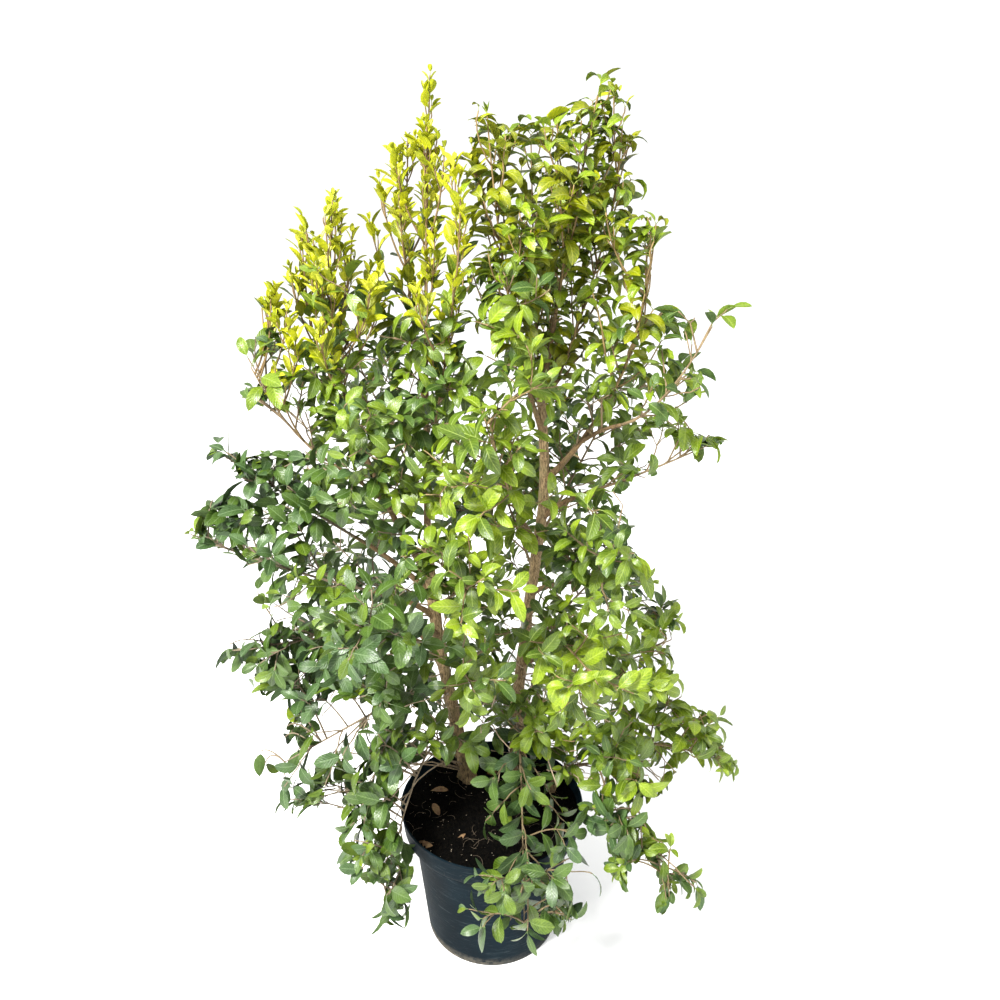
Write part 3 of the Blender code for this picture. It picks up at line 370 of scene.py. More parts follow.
# Open sky, soil and pot that show between the leaves in the front view: across, height and radius in millimetres
SKY = (
    (255, 778, 46), (-413, 665, 46), (346, 240, 50), (378, 164, 50), (-413, 605, 46), (-287, 897, 23),
    (302, 1022, 27), (298, 926, 21), (282, 714, 46), (-369, 384, 36), (272, 824, 36), (-239, 413, 18),
    (-313, 905, 20), (-224, 15, 31), (-412, 831, 26), (-311, 988, 15), (235, 1124, 28), (289, 219, 22),
    (-437, 354, 50), (-354, 596, 18), (-377, 831, 18), (234, 876, 13), (-341, 897, 22), (80, 1362, 26), (257, 62, 25),
    (161, 74, 16), (-40, 1282, 18), (349, 954, 43), (219, 1081, 13), (-304, 1048, 13), (-348, 432, 19),
    (-214, 432, 15), (-348, 354, 19), (-351, 988, 26), (-316, 605, 12), (295, 552, 16), (331, 119, 16),
    (-267, 262, 15), (333, 293, 27), (-414, 470, 20), (244, 738, 32), (182, 1352, 22), (204, 793, 15),
    (-381, 272, 20), (261, 1112, 41), (-124, 1149, 9), (-210, 1173, 9), (-122, 1309, 35), (-329, 208, 20),
    (-114, 282, 36), (-67, 204, 34), (-116, 26, 23), (-95, 108, 28), (-84, -34, 21), (-134, 208, 21), (-288, 208, 22),
    (-439, 579, 44), (430, 374, 43), (-275, 364, 12), (267, 303, 11), (-218, 374, 11), (176, 131, 13), (278, 570, 11),
    (-429, 479, 30), (-249, 393, 13), (-253, 219, 11), (-359, 681, 10), (212, 1093, 9), (204, -96, 50),
    (122, -84, 14), (144, 890, 9), (424, 50, 46), (216, 1245, 26), (-476, 778, 47), (217, 824, 11), (312, 846, 18),
    (306, 1112, 40), (316, 479, 15), (-216, 1179, 10), (340, 1008, 36), (227, 868, 12), (246, -46, 50),
    (119, 1331, 10), (-219, 1208, 19), (-316, 1061, 19), (-481, 698, 43), (-152, 1203, 14), (197, 1309, 28),
    (-376, 947, 38), (-109, 1341, 32), (-306, 912, 17), (221, 1137, 12), (339, 15, 16), (350, 282, 30),
    (-422, 706, 16), (272, 1061, 9), (-12, 1029, 9), (305, 605, 14), (162, 50, 20), (333, -22, 23), (266, 62, 24),
    (-408, 251, 38), (25, 1325, 25), (-137, -22, 14), (271, 839, 22), (-259, 905, 11), (-311, 988, 17),
    (234, 876, 15), (-273, 897, 19), (144, 890, 12), (289, 1022, 22), (-275, 364, 14), (189, 1249, 15),
    (267, 303, 13), (-412, 778, 11), (334, 461, 20), (312, 854, 16), (-380, 432, 15), (-156, 1149, 11),
    (-218, 374, 13), (-248, 403, 16), (-421, 714, 14), (-322, 614, 12), (-207, 432, 13), (-330, 995, 15),
    (291, 926, 20), (67, 1304, 10), (232, 1167, 10), (271, 839, 27), (-239, 413, 20),
)
# Twigs may cross open views narrower than the first. No view is as wide as the second: the room's own test leaves
# them all out for leaves, which are tested against every view before.
TWIGS_CROSS = 0.020
LEAVES_CROSS = 1.0

# The trunks' stretches that show between the leaves in front of them: the trunk, the lowest and highest
# place, half the width kept clear, and the share of leaves that keep out of it
CLEAR_VIEWS = (
    ("left_trunk", 0.25, 0.60, 0.016, 0.85),
    ("right_trunk", 0.30, 0.50, 0.016, 0.80),
    ("right_trunk", 0.60, 0.94, 0.013, 0.62),
)

# Fine growth. Twig radii and spacings are in metres, and a share is of the parent's length.
TWIG_RINGS = 8
TWIG_SIDES = 5
TIP_RADIUS = 0.0009
SHOOT_RADIUS = 0.0014
SIDE_SHOOT_RADIUS = 0.0011
SHOOT_SPACING = 0.045
SIDE_SHOOT_SPACING = 0.046
SHOOTS_FROM = 0.08
YOUNG_SHOOTS_FROM = 0.35
SHOOTS_TO = 0.93
SIDED_FROM_REACH = 0.145
SIDE_SHOOTS = (0.25, 0.85)
SIDE_SHOOT_SHARE = 0.62
YOUNG_SHOOT_SHARE = 0.5
STEM_STOPS_SHORT = 0.45
LEAST_TWIG = 0.08
SPRAY_SIZES = (0.84, 1.20)
FIRST_PAIR = 0.001
PAIR_SCATTER = (0.8, 1.25)
FULL_TWIG_LENGTH = 0.09
TWIG_LENGTHS = (0.72, 1.12)
SHORTER_EACH_TRY = 0.13
STRAY_SHADES = 0.22
TRIES = 5
LEAF_TRIES = 3
FIRST_SEED = 1000
# Degrees by which twigs and leaves may be turned off their places, and what each further try adds
TWIG_SPREAD = 18
LEAF_SPREAD = 14
MORE_SPREAD = 16
# The directions that the first pairs of twigs and leaves are square to
# How uneven twigs are: their sway and wander as shares of their length, the scatter of their places and angles
TWIG_SWAY = 0.09
TWIG_WANDER = 0.045
TWIG_PLACE_SCATTER = 0.02
TWIG_PLACES = (0.02, 0.98)
TWIG_ANGLE_SCATTER = 10
TWIG_WIDTHS = (0.6, 1.5)
TWIG_SIDE = (0.2, 0.3, 0.93)
LEAF_SIDE = (0.5, 0.2, 0.84)

# How leaves vary: the height from which all are young in metres, sizes, angles in degrees, and shapes, with what a
# young leaf's width, fold and curl are of a grown one's
YOUNG_ABOVE_SCATTER = 0.03
LEAF_SIZE_SCATTER = (0.86, 1.14)
LEAF_OPENING_SCATTER = 12
LEAF_ROLL_SCATTER = 28
LEAF_DROOPS = (0.3, 1.5)
LEAF_TWIST_SCATTER = 14
LEAF_BLUNT_SCATTER = 0.25
LEAF_WIDTHS = (0.88, 1.1)
LEAF_FOLDS = (0.5, 1.4)
LEAF_CURLS = (0.3, 1.5)
YOUNG_WIDTH = 0.86
YOUNG_FOLD = 1.4
YOUNG_CURL = 0.8
# The shares of a leaf's length at which its room is tested: its two margins, and a little past its tip
MARGINS_TESTED = 0.5
TIP_TESTED = 1.08

# A family of foliage: blade size, how blunt its tip is, how much larger a grown leaf is than a young one, its
# fold and curl in degrees, spacing of pairs, the outer share of each twig that bears leaves, how many pairs at a
# tip are young, the height above which all are young, the share of sprays that are growing, shades for grown and
# young leaves, and the colours of twigs and ribs
Family = namedtuple("Family", "length width blunt grown fold curl spacing leafy young young_above growing "
                              "grown_shades young_shades twig rib slot")
FAMILIES = {
    "flush": Family(0.029, 0.0126, 0.1, 1.28, 26, 42, 0.021, 0.62, 4, 1.12, 1.0,
                    ("green", "deep", "olive", "fresh"), ("flush", "flush", "pale_flush"),
                    (118, 98, 60), (160, 164, 60), "young_leaves"),
    "bright": Family(0.041, 0.0172, 0.3, 1.0, 26, 62, 0.0235, 0.76, 1, 9.0, 0.35,
                     ("bright", "fresh", "bright", "green"), ("bright", "fresh", "bright"),
                     (126, 108, 70), (140, 158, 78), "bright_leaves"),
    "front": Family(0.041, 0.0190, 0.55, 1.0, 20, 50, 0.024, 0.76, 1, 9.0, 0.25,
                    ("deep", "blue_green", "deep", "green"), ("fresh", "green"),
                    (112, 98, 68), (100, 124, 66), "bright_leaves"),
    "middle": Family(0.039, 0.0160, 0.2, 1.0, 26, 62, 0.023, 0.75, 1, 9.0, 0.22,
                     ("fresh", "green", "fresh", "deep"), ("bright", "fresh"),
                     (118, 102, 72), (120, 140, 72), "middle_leaves"),
    "olive": Family(0.038, 0.0142, 0.1, 1.0, 32, 92, 0.022, 0.88, 1, 9.0, 0.34,
                    ("olive", "bright", "olive", "fresh"), ("lime", "flush", "bright"),
                    (128, 108, 64), (140, 148, 66), "olive_leaves"),
    "dark": Family(0.042, 0.0192, 0.4, 1.0, 22, 48, 0.024, 0.74, 1, 9.0, 0.12,
                   ("deep", "blue_green", "green", "deep"), ("fresh", "bright"),
                   (118, 106, 84), (102, 124, 80), "dark_leaves"),
}
# Size, opening and spacing of a twig's pairs from its tip back, where it is growing and where it rests
LEAF_SIZES = ((0.50, 0.82, 0.96, 1.0), (0.82, 0.96, 1.0, 1.0))
LEAF_OPENINGS = ((0.42, 0.78, 0.95, 1.0), (0.66, 0.90, 1.0, 1.0))
PAIR_GAPS = ((0.36, 0.55, 0.85, 1.0), (0.62, 0.95, 1.0, 1.0))

# Shades of leaf, as they look on a screen from 0 to 255
SHADES = {
    "pale_flush": (174, 181, 36),
    "flush": (148, 158, 4),
    "lime": (130, 146, 20),
    "bright": (107, 130, 20),
    "fresh": (90, 113, 20),
    "green": (74, 97, 22),
    "olive": (108, 118, 8),
    "deep": (61, 86, 28),
    "blue_green": (59, 84, 40),
}


def tone(red, green, blue):
    """A colour given as it looks on a screen, 0 to 255, in Blender's linear values."""
    shares = np.array((red, green, blue)) / 255
    linear = np.where(shares <= 0.04045, shares / 12.92, ((shares + 0.055) / 1.055) ** 2.4)
    return tuple(float(part) for part in linear)


class Value:
    """A shader socket that takes part in sums, each of which adds a Math node."""

    def __init__(self, finish, socket):
        self.finish = finish
        self.socket = socket

    def maths(self, operation, first, second):
        return self.finish.node("ShaderNodeMath", {"operation": operation}, {0: first, 1: second})

    def __add__(self, other):
        return self.maths("ADD", self, other)

    def __radd__(self, other):
        return self.maths("ADD", other, self)

    def __sub__(self, other):
        return self.maths("SUBTRACT", self, other)

    def __rsub__(self, other):
        return self.maths("SUBTRACT", other, self)

    def __mul__(self, other):
        return self.maths("MULTIPLY", self, other)

    def __rmul__(self, other):
        return self.maths("MULTIPLY", other, self)

    def __abs__(self):
        return self.maths("ABSOLUTE", self, 0.0)

    def sine(self):
        return self.maths("SINE", self, 0.0)


class Finish:
    """A material, with its nodes added by plain calls."""

    def __init__(self, name):
        self.material = bpy.data.materials.new(name)
        self.material.use_nodes = True
        self.tree = self.material.node_tree
        self.shader = self.tree.nodes["Principled BSDF"]
        self.place = self.node("ShaderNodeTexCoord", output="Object")

    def connect(self, socket, value):
        if isinstance(value, Value):
            self.tree.links.new(value.socket, socket)
        elif socket.type == "RGBA":
            socket.default_value = (*value, 1.0)
        else:
            socket.default_value = value

    def node(self, kind, settings=None, values=None, output=0):
        """A node of any kind: its settings first, then the numbers or sockets that its inputs take."""
        node = self.tree.nodes.new(kind)
        for name, setting in (settings or {}).items():
            setattr(node, name, setting)
        for name, value in (values or {}).items():
            self.connect(node.inputs[name], value)
        return Value(self, node.outputs[output])

    def noise(self, size, stretch=(1, 1, 1), detail=3, roughness=0.5, distortion=0.0):
        """Noise from 0 to 1 with lumps of a size in metres, longer along an axis with a stretch over 1."""
        scale = tuple(1 / (size * part) for part in stretch)
        place = self.node("ShaderNodeMapping", {}, {"Vector": self.place, "Scale": scale})
        return self.node("ShaderNodeTexNoise", {}, {"Vector": place, "Scale": 1.0, "Detail": detail,
                                                    "Roughness": roughness, "Distortion": distortion})

    def part_of(self, value, low, high):
        """Zero below low, one above high, and a straight slope between."""
        return self.node("ShaderNodeMapRange", {}, {0: value, 1: low, 2: high})

    def mix(self, share, first, second):
        """A colour between two."""
        return self.node("ShaderNodeMix", {"data_type": "RGBA"}, {0: share, 6: first, 7: second}, output=2)

    def along_axis(self, place, axis):
        return self.node("ShaderNodeSeparateXYZ", {}, {0: place}, output=axis)

    def outline(self):
        """How far across and along its blade a place lies, each from 0 to 1."""
        laid_out = self.node("ShaderNodeTexCoord", output="UV")
        return [self.along_axis(laid_out, axis) for axis in (0, 1)]

    def set(self, base_color, roughness, specular=0.5):
        for name, value in (("Base Color", base_color), ("Roughness", roughness), ("Specular IOR Level", specular)):
            self.connect(self.shader.inputs[name], value)

    def bump(self, relief, distance, strength=0.8):
        normal = self.node("ShaderNodeBump", {}, {"Height": relief, "Distance": distance, "Strength": strength})
        self.connect(self.shader.inputs["Normal"], normal)

    def let_light_through(self, share, colour):
        """Mixes in the light that a thin blade lets through."""
        through = self.node("ShaderNodeBsdfTranslucent", {}, {"Color": colour})
        surface = Value(self, self.shader.outputs[0])
        both = self.node("ShaderNodeMixShader", {}, {0: share, 1: surface, 2: through})
        self.connect(self.tree.nodes["Material Output"].inputs["Surface"], both)


def shifted(colour, *factors):
    return tuple(min(1.0, part * factor) for part, factor in zip(colour, factors))


VEINS = 8
VEIN_SLANT = 2.2


def leaf_finish(name, colour, gloss, through, veined):
    """A leaf's skin: cloudy patches, fine mottling, pale veins and midrib, and a gloss that comes and goes. The pale
    of the veins, midrib and blotches is the leaf's own, whitened and blued further as a painted sheen.
    """
    finish = Finish(name)
    clouds = finish.noise(0.024, detail=2)
    mottling = finish.noise(0.0030, detail=3, roughness=0.65)
    grain = finish.noise(0.0012, detail=1)
    across, along_blade = finish.outline()
    side = abs(across - 0.5) * 2.0
    vein = finish.part_of(((along_blade * VEINS - side * VEIN_SLANT) * (2 * math.pi)).sine(), 0.40, 1.0)
    midrib = 1 - finish.part_of(side, 0.03, 0.15)
    base = finish.mix(finish.part_of(clouds, 0.34, 0.66), shifted(colour, 0.50, 0.60, 0.50),
                      shifted(colour, 1.40, 1.32, 1.35))
    # The pale tint: the leaf's own paler veins and mottles, with blue raised most as a painted bluish-white sheen
    pale_with_sheen = shifted(colour, 2.1, 1.75, 3.0)
    dimmed = finish.mix((1 - finish.part_of(mottling, 0.30, 0.50)) * 0.52, base, shifted(colour, 0.42, 0.50, 0.42))
    blotched = finish.mix(finish.part_of(mottling, 0.50, 0.72) * 0.48, dimmed, pale_with_sheen)
    lined = finish.mix(vein * veined + midrib * (veined * 1.5), blotched, pale_with_sheen)
    finish.set(base_color=lined, roughness=gloss + 0.26 * mottling, specular=0.45)
    finish.bump(mottling + 0.5 * vein + 0.5 * grain, 0.00040)
    finish.let_light_through(through, shifted(colour, 1.4, 1.4, 0.6))
    return finish.material


def bark_finish(name, light, dark, moss, fibre):
    """Bark with long fibres, darker creases and a faint green cast in patches."""
    finish = Finish(name)
    fibres = finish.noise(fibre, stretch=(1, 1, 4), detail=5, roughness=0.75, distortion=0.5)
    patches = finish.noise(fibre * 9, stretch=(1, 1, 2.0), detail=3)
    specks = finish.noise(fibre * 0.7, detail=3)
    wood = finish.mix(finish.part_of(fibres, 0.38, 0.60), dark, light)
    mossy = finish.mix(finish.part_of(patches, 0.50, 0.72) * 0.55, wood, moss)
    speckled = finish.mix(finish.part_of(specks, 0.66, 0.78) * 0.5, mossy, shifted(light, 1.5, 1.5, 1.6))
    finish.set(base_color=speckled, roughness=0.70 + 0.25 * fibres, specular=0.35)
    finish.bump(fibres + 0.5 * specks, 0.0012, 0.9)
    return finish.material


def twig_finish(name, colour):
    """Thin young bark, streaked along and a little pale on its ridges."""
    finish = Finish(name)
    streaks = finish.noise(0.0016, stretch=(1, 1, 5), detail=3)
    patches = finish.noise(0.020, detail=2)
    base = finish.mix(finish.part_of(streaks, 0.35, 0.68), shifted(colour, 0.6, 0.56, 0.55),
                      shifted(colour, 1.25, 1.22, 1.25))
    aged = finish.mix(finish.part_of(patches, 0.5, 0.7) * 0.5, base, shifted(colour, 0.75, 0.66, 0.62))
    finish.set(base_color=aged, roughness=0.62 + 0.2 * streaks)
    finish.bump(streaks, 0.0004)
    return finish.material


def rib_finish(name, colour):
    """Leaf stalks and midribs, paler than the blade."""
    finish = Finish(name)
    streaks = finish.noise(0.004, detail=2)
    base = finish.mix(finish.part_of(streaks, 0.35, 0.7), shifted(colour, 0.8, 0.82, 0.8), colour)
    finish.set(base_color=base, roughness=0.45 + 0.15 * streaks)
    return finish.material


def pot_finish():
    """Dark blue-grey moulded plastic, dusty at its collar, with a pale band round its foot that is partly dust and
    partly a painted highlight on its lit left side, and with scuffs and faint scratches.
    """
    finish = Finish("pot_plastic")
    plastic = tone(8, 21, 28)
    clouds = finish.noise(0.045, stretch=(1, 1, 1.6), detail=4, roughness=0.6)
    grain = finish.noise(0.0011, detail=2)
    scuffs = finish.noise(0.004, stretch=(8, 8, 0.6), detail=4, roughness=0.7, distortion=0.6)
    dust = finish.noise(0.006, detail=5, roughness=0.7)
    height = finish.along_axis(finish.place, 2)
    faded = finish.mix(finish.part_of(clouds, 0.35, 0.7), shifted(plastic, 0.80, 0.80, 0.82),
                       shifted(plastic, 1.30, 1.25, 1.2))
    scuffed = finish.mix(finish.part_of(scuffs, 0.56, 0.74) * 0.26, faded, tone(92, 104, 108))
    drift = finish.noise(0.018, stretch=(1, 1, 0.4), detail=4, roughness=0.7)
    # Painted highlight: the foot's pale band is drawn in full on the left, lit side and at a quarter on the right
    left = 1 - 0.75 * finish.part_of(finish.along_axis(finish.place, 0), -0.07, 0.06)
    foot = (1 - finish.part_of(height, 0.003, 0.020)) * finish.part_of(dust + drift * 0.8, 0.72, 1.02) * left
    collar = finish.part_of(height, 0.186, 0.214) * (1 - finish.part_of(height, 0.214, 0.236))
    # Dust at the collar; at the foot, dust and a painted highlight
    dust_and_highlight = foot * 0.85 + collar * finish.part_of(dust, 0.52, 0.72) * finish.part_of(clouds, 0.48, 0.66) * 0.6
    finish.set(base_color=finish.mix(dust_and_highlight, scuffed, tone(116, 110, 98)),
               roughness=0.54 + 0.16 * clouds + 0.25 * dust_and_highlight, specular=0.04)
    finish.bump(grain * 0.7 + scuffs * 0.5 + dust_and_highlight * 0.6, 0.0004, 0.6)
    return finish.material


def soil_finish(name, dark, light):
    finish = Finish(name)
    lumps = finish.noise(0.005, detail=5, roughness=0.7)
    specks = finish.noise(0.0018, detail=2)
    base = finish.mix(finish.part_of(lumps, 0.42, 0.72), dark, light)
    specked = finish.mix(finish.part_of(specks, 0.69, 0.75) * 0.5, base, tone(74, 62, 46))
    finish.set(base_color=specked, roughness=0.88 + 0.1 * lumps, specular=0.05)
    finish.bump(lumps + 0.4 * specks, 0.003, 0.9)
    return finish.material


def dry_finish(name, colour):
    """Dead leaves and chips, blotched brown."""
    finish = Finish(name)
    blotches = finish.noise(0.006, detail=4, roughness=0.65)
    base = finish.mix(finish.part_of(blotches, 0.38, 0.66), shifted(colour, 0.5, 0.42, 0.4), colour)
    finish.set(base_color=base, roughness=0.7 + 0.2 * blotches)
    finish.bump(blotches, 0.0008)
    return finish.material


def unit(vectors):
    return vectors / np.linalg.norm(vectors, axis=-1, keepdims=True)


def turned(vectors, axes, degrees):
    """Vectors turned about unit axes, one angle for each."""
    angles = np.radians(degrees)[..., None]
    lying = (axes * vectors).sum(-1, keepdims=True)
    return (vectors * np.cos(angles) + np.cross(axes, vectors) * np.sin(angles)
            + axes * lying * (1 - np.cos(angles)))


def bezier(start, control, end, count):
    """Smooth bends from start to end, drawn towards the control point. All three may be rows of points."""
    share = np.linspace(0, 1, count)[:, None]
    start, control, end = (np.asarray(point)[..., None, :] for point in (start, control, end))
    return start * (1 - share) ** 2 + control * 2 * share * (1 - share) + end * share ** 2


def square_to(axes, vectors):
    """Vectors turned straight out from unit axes, and made unit."""
    return unit(vectors - axes * (vectors * axes).sum(-1, keepdims=True))


def turns_of(sides):
    """The angles of evenly spaced sides, in radians."""
    return np.arange(sides) * 2 * math.pi / sides


def points_at(places, run, route):
    """Points at places along a route, where run says how far along it each of its own points is."""
    return np.stack([np.interp(places, run, column) for column in route.T], axis=1)


def arched(start, end, arch):
    """The control point of a bend that rises by arch in its middle."""
    return (start + end) / 2 + UP * 2 * arch


def smooth_route(points, shares):
    """Places along a smooth curve through given points, as a Catmull-Rom spline."""
    points = np.array(points)
    padded = np.vstack((2 * points[0] - points[1], points, 2 * points[-1] - points[-2]))
    route = []
    for place in shares * (len(points) - 1):
        index = min(int(place), len(points) - 2)
        share = place - index
        before, start, end, after = padded[index:index + 4]
        bend = (2 * before - 5 * start + 4 * end - after) * share ** 2
        twist = (3 * start - before - 3 * end + after) * share ** 3
        route.append((2 * start + (end - before) * share + bend + twist) / 2)
    return np.array(route)


def along(routes, shares):
    """Points and directions at shares of the way along routes, one share for each route."""
    places = shares * (routes.shape[1] - 1)
    index = np.minimum(places.astype(int), routes.shape[1] - 2)
    rows = np.arange(len(routes))
    steps = routes[rows, index + 1] - routes[rows, index]
    return routes[rows, index] + steps * (places - index)[:, None], unit(steps)


def lengths_of(routes):
    return np.linalg.norm(np.diff(routes, axis=1), axis=2).sum(1)


class Limb:
    """A tapering limb along a route, which can tell how far points are from it."""

    def __init__(self, route, radii=None):
        self.route = route
        self.radii = np.zeros(len(route)) if radii is None else radii
        self.end_direction = unit(route[-1] - route[-2])

    def at_height(self, height):
        index = int(np.argmax(self.route[:, 2] > height)) - 1
        low, high = self.route[index], self.route[index + 1]
        return low + (high - low) * (height - low[2]) / (high[2] - low[2])

    def nearest(self, points):
        """How far each point is from the middle line, and the nearest place's number along the route."""
        starts = self.route[:-1]
        steps = self.route[1:] - starts
        offsets = points[:, None, :] - starts[None]
        shares = np.clip((offsets * steps).sum(2) / (steps ** 2).sum(1), 0, 1)
        gaps = np.linalg.norm(offsets - shares[:, :, None] * steps[None], axis=2)
        closest = gaps.argmin(axis=1)
        rows = np.arange(len(points))
        return gaps[rows, closest], closest + shares[rows, closest]

    def radius_at(self, places):
        return np.interp(places, np.arange(len(self.radii)), self.radii)

    def distances(self, points):
        gaps, places = self.nearest(points)
        return gaps - self.radius_at(places)


def trunk_shape(trunk, rings):
    """A trunk's route and radii, and how near each ring is to the foot, from 1 at the soil down to 0."""
    share = np.linspace(0, 1, rings) ** FOOT_CROWDING
    route = smooth_route(trunk.route, share)
    near_foot = np.exp(-(route[:, 2] - STEM_FOOT) / FLARE_HEIGHT)
    radii = trunk.foot_radius + (trunk.tip_radius - trunk.foot_radius) * share + trunk.flare * near_foot
    return route, radii, near_foot


def bough_route(bough, rings):
    start = limbs[bough.parent].at_height(bough.leaves_at)
    end = np.array(bough.tip)
    return bezier(start, arched(start, end, bough.arch), end, rings)


def stem_ends(mass, leaf_length):
    """Start, control point and end of a mass's stem, which stops a leaf's length short of the mass's tip."""
    parent = limbs[mass.parent]
    tip = np.array(mass.tip)
    if mass.leaves_at is None:
        start = parent.route[-1]
        control = start + parent.end_direction * STEM_RUN_ON * np.linalg.norm(tip - start)
    else:
        start = parent.at_height(mass.leaves_at)
        control = arched(start, tip, mass.arch)
    return start, control, tip - unit(tip - control) * leaf_length


limbs = {}
for trunk in TRUNKS:
    limbs[trunk.name] = Limb(*trunk_shape(trunk, TRUNK_RINGS)[:2])
for bough in BOUGHS:
    limbs[bough.name] = Limb(bough_route(bough, BOUGH_RINGS),
                             np.linspace(bough.foot_radius, bough.tip_radius, BOUGH_RINGS))


def middle_line(mass):
    """The line that a mass's space lies round: its stem, carried on to its outermost point."""
    stem = bezier(*stem_ends(mass, FRAME_LEAF_LENGTH * FRAME_LEAF_SHARE), STEM_RINGS)
    return Limb(np.vstack((stem, mass.tip)))


middle_lines = {mass.name: middle_line(mass) for mass in MASSES}


OUTER_PROFILE = ((BASE_RADIUS - POT_CORNER, 0.0), (BASE_RADIUS, POT_CORNER),
                 (WALL_TOP_RADIUS, COLLAR_FOOT), (COLLAR_FOOT_RADIUS, COLLAR_FOOT + POT_CORNER / 2),
                 (RIM_RADIUS, POT_HEIGHT - POT_CORNER), (RIM_RADIUS - POT_WALL / 4, POT_HEIGHT))


def sky_cone(across, height, radius):
    """An open view as a cone from the camera: its radius, its direction, and the cosine at its edge."""
    offset = np.subtract(metres(across, 0, height), CAMERA_PLACE)
    return radius / 1000, unit(offset), math.cos(math.atan(radius / 1000 / np.linalg.norm(offset)))


sky_cones = [sky_cone(*view) for view in SKY]


def pot_depth(points):
    """How far points are inside the pot's outline, negative where they are clear of it."""
    radii, heights = np.array(OUTER_PROFILE).T
    outward = np.interp(points[:, 2], heights, radii) - np.hypot(points[:, 0], points[:, 1])
    return np.minimum(outward, POT_HEIGHT - points[:, 2])


def in_sky(points, least):
    """Which points stand before or behind open sky of at least a radius, seen from the front."""
    away = unit(points - CAMERA_PLACE)
    hidden = np.zeros(len(points), bool)
    for radius, heading, edge in sky_cones:
        if radius >= least:
            hidden |= away @ heading > edge
    return hidden


class Space:
    """The room round one line, clear of limbs, pot, floor and open sky."""

    def __init__(self, line, reach, taper=SPACE_TAPER):
        self.line = line
        self.reach = reach
        self.taper = taper

    def holds(self, rows, least_sky):
        """Which rows of points lie wholly in the room, out of open sky of at least a radius."""
        points = rows.reshape(-1, 3)
        gaps, places = self.line.nearest(points)
        length = len(self.line.route) - 1
        inside = (gaps / self.reach <= 1.0 - self.taper * places / length) & (points[:, 2] >= FLOOR_ROOM)
        inside &= (points - self.line.route[-1]) @ self.line.end_direction <= TIP_ROOM
        for limb in limbs.values():
            inside &= limb.distances(points) >= LIMB_ROOM
        inside &= pot_depth(points) <= -POT_ROOM
        inside &= ~in_sky(points, least_sky)
        return inside.reshape(len(rows), -1).all(axis=1)


def placed(name, data):
    """A new object in the scene."""
    thing = bpy.data.objects.new(name, data)
    bpy.context.scene.collection.objects.link(thing)
    return thing


def new_piece(name, points, faces, finishes, shades=None, soft=True, sharp=None, outline=None):
    """A joined mesh that rides on the root. faces are arrays of triangles or quads, shades one array for each."""
    mesh = bpy.data.meshes.new(name)
    points = np.asarray(points, dtype=np.float32).reshape(-1, 3)
    loops = np.concatenate([part.ravel() for part in faces]).astype(np.int32)
    sizes = np.concatenate([np.full(len(part), part.shape[1]) for part in faces])
    mesh.vertices.add(len(points))
    mesh.vertices.foreach_set("co", points.ravel())
    mesh.loops.add(len(loops))
    mesh.loops.foreach_set("vertex_index", loops)
    mesh.polygons.add(len(sizes))
    mesh.polygons.foreach_set("loop_start", np.concatenate(([0], np.cumsum(sizes)[:-1])).astype(np.int32))
    mesh.polygons.foreach_set("use_smooth", np.full(len(sizes), soft))
    for finish in finishes:
        mesh.materials.append(finish)
    if shades is not None:
        mesh.polygons.foreach_set("material_index", np.concatenate(shades).astype(np.int32))
    if outline is not None:
        layer = mesh.uv_layers.new(name="outline")
        layer.uv.foreach_set("vector", outline[loops].astype(np.float32).ravel())
    mesh.update(calc_edges=True)
    if sharp is not None:
        ends = np.zeros(len(mesh.edges) * 2, np.int32)
        mesh.edges.foreach_get("vertices", ends)
        crease = mesh.attributes.new("sharp_edge", "BOOLEAN", "EDGE")
        crease.data.foreach_set("value", sharp[ends.reshape(-1, 2)].all(axis=1))
    piece = placed(name, mesh)
    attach(piece, "root")
    return piece


def tube_faces(count, rings, sides):
    """Quads of tubes, and the fans that cap them, for points laid out by tube, ring and side."""
    ring = np.arange(rings - 1)[:, None] * sides
    side = np.arange(sides)[None, :]
    after = (side + 1) % sides
    quads = np.stack((ring + side, ring + after, ring + sides + after, ring + sides + side), axis=-1).reshape(-1, 4)
    caps = np.stack((np.arange(sides)[::-1], np.arange(sides) + (rings - 1) * sides))
    starts = np.arange(count)[:, None, None] * rings * sides
    return [(starts + quads).reshape(-1, 4), (starts + caps).reshape(-1, sides)]


def tube_points(routes, radii, sides):
    """Points round many routes at once, laid out by tube, ring and side."""
    steps = np.diff(routes, axis=1)
    tangents = unit(np.concatenate((steps[:, :1], steps[:, :-1] + steps[:, 1:], steps[:, -1:]), axis=1))
    overall = routes[:, -1] - routes[:, 0]
    side = square_to(tangents, np.eye(3)[np.abs(overall).argmin(axis=1)][:, None, :])
    across = np.cross(tangents, side)
    angles = turns_of(sides)
    wide = radii[:, :, None, None]
    return (routes[:, :, None, :] + side[:, :, None, :] * np.cos(angles)[:, None] * wide
            + across[:, :, None, :] * np.sin(angles)[:, None] * wide)


def make_tubes(name, routes, radii, sides, finish):
    """A piece of many thin tubes, one along each route."""
    points = tube_points(routes, radii, sides)
    return new_piece(name, points, tube_faces(*points.shape[:3]), [finish])


def make_turned(name, rings, finish):
    """A piece of one tube through rings of points."""
    return new_piece(name, rings, tube_faces(1, *rings.shape[:2]), [finish])


def relief(around, place, size, pitch, seed):
    """Unevenness of bark, with lumps of a size round the limb and a pitch along it."""
    point = (around[0] * size, around[1] * size, place * pitch)
    return noise.noise(Vector([part + shift * seed for part, shift in zip(point, RELIEF_SHIFTS)]))


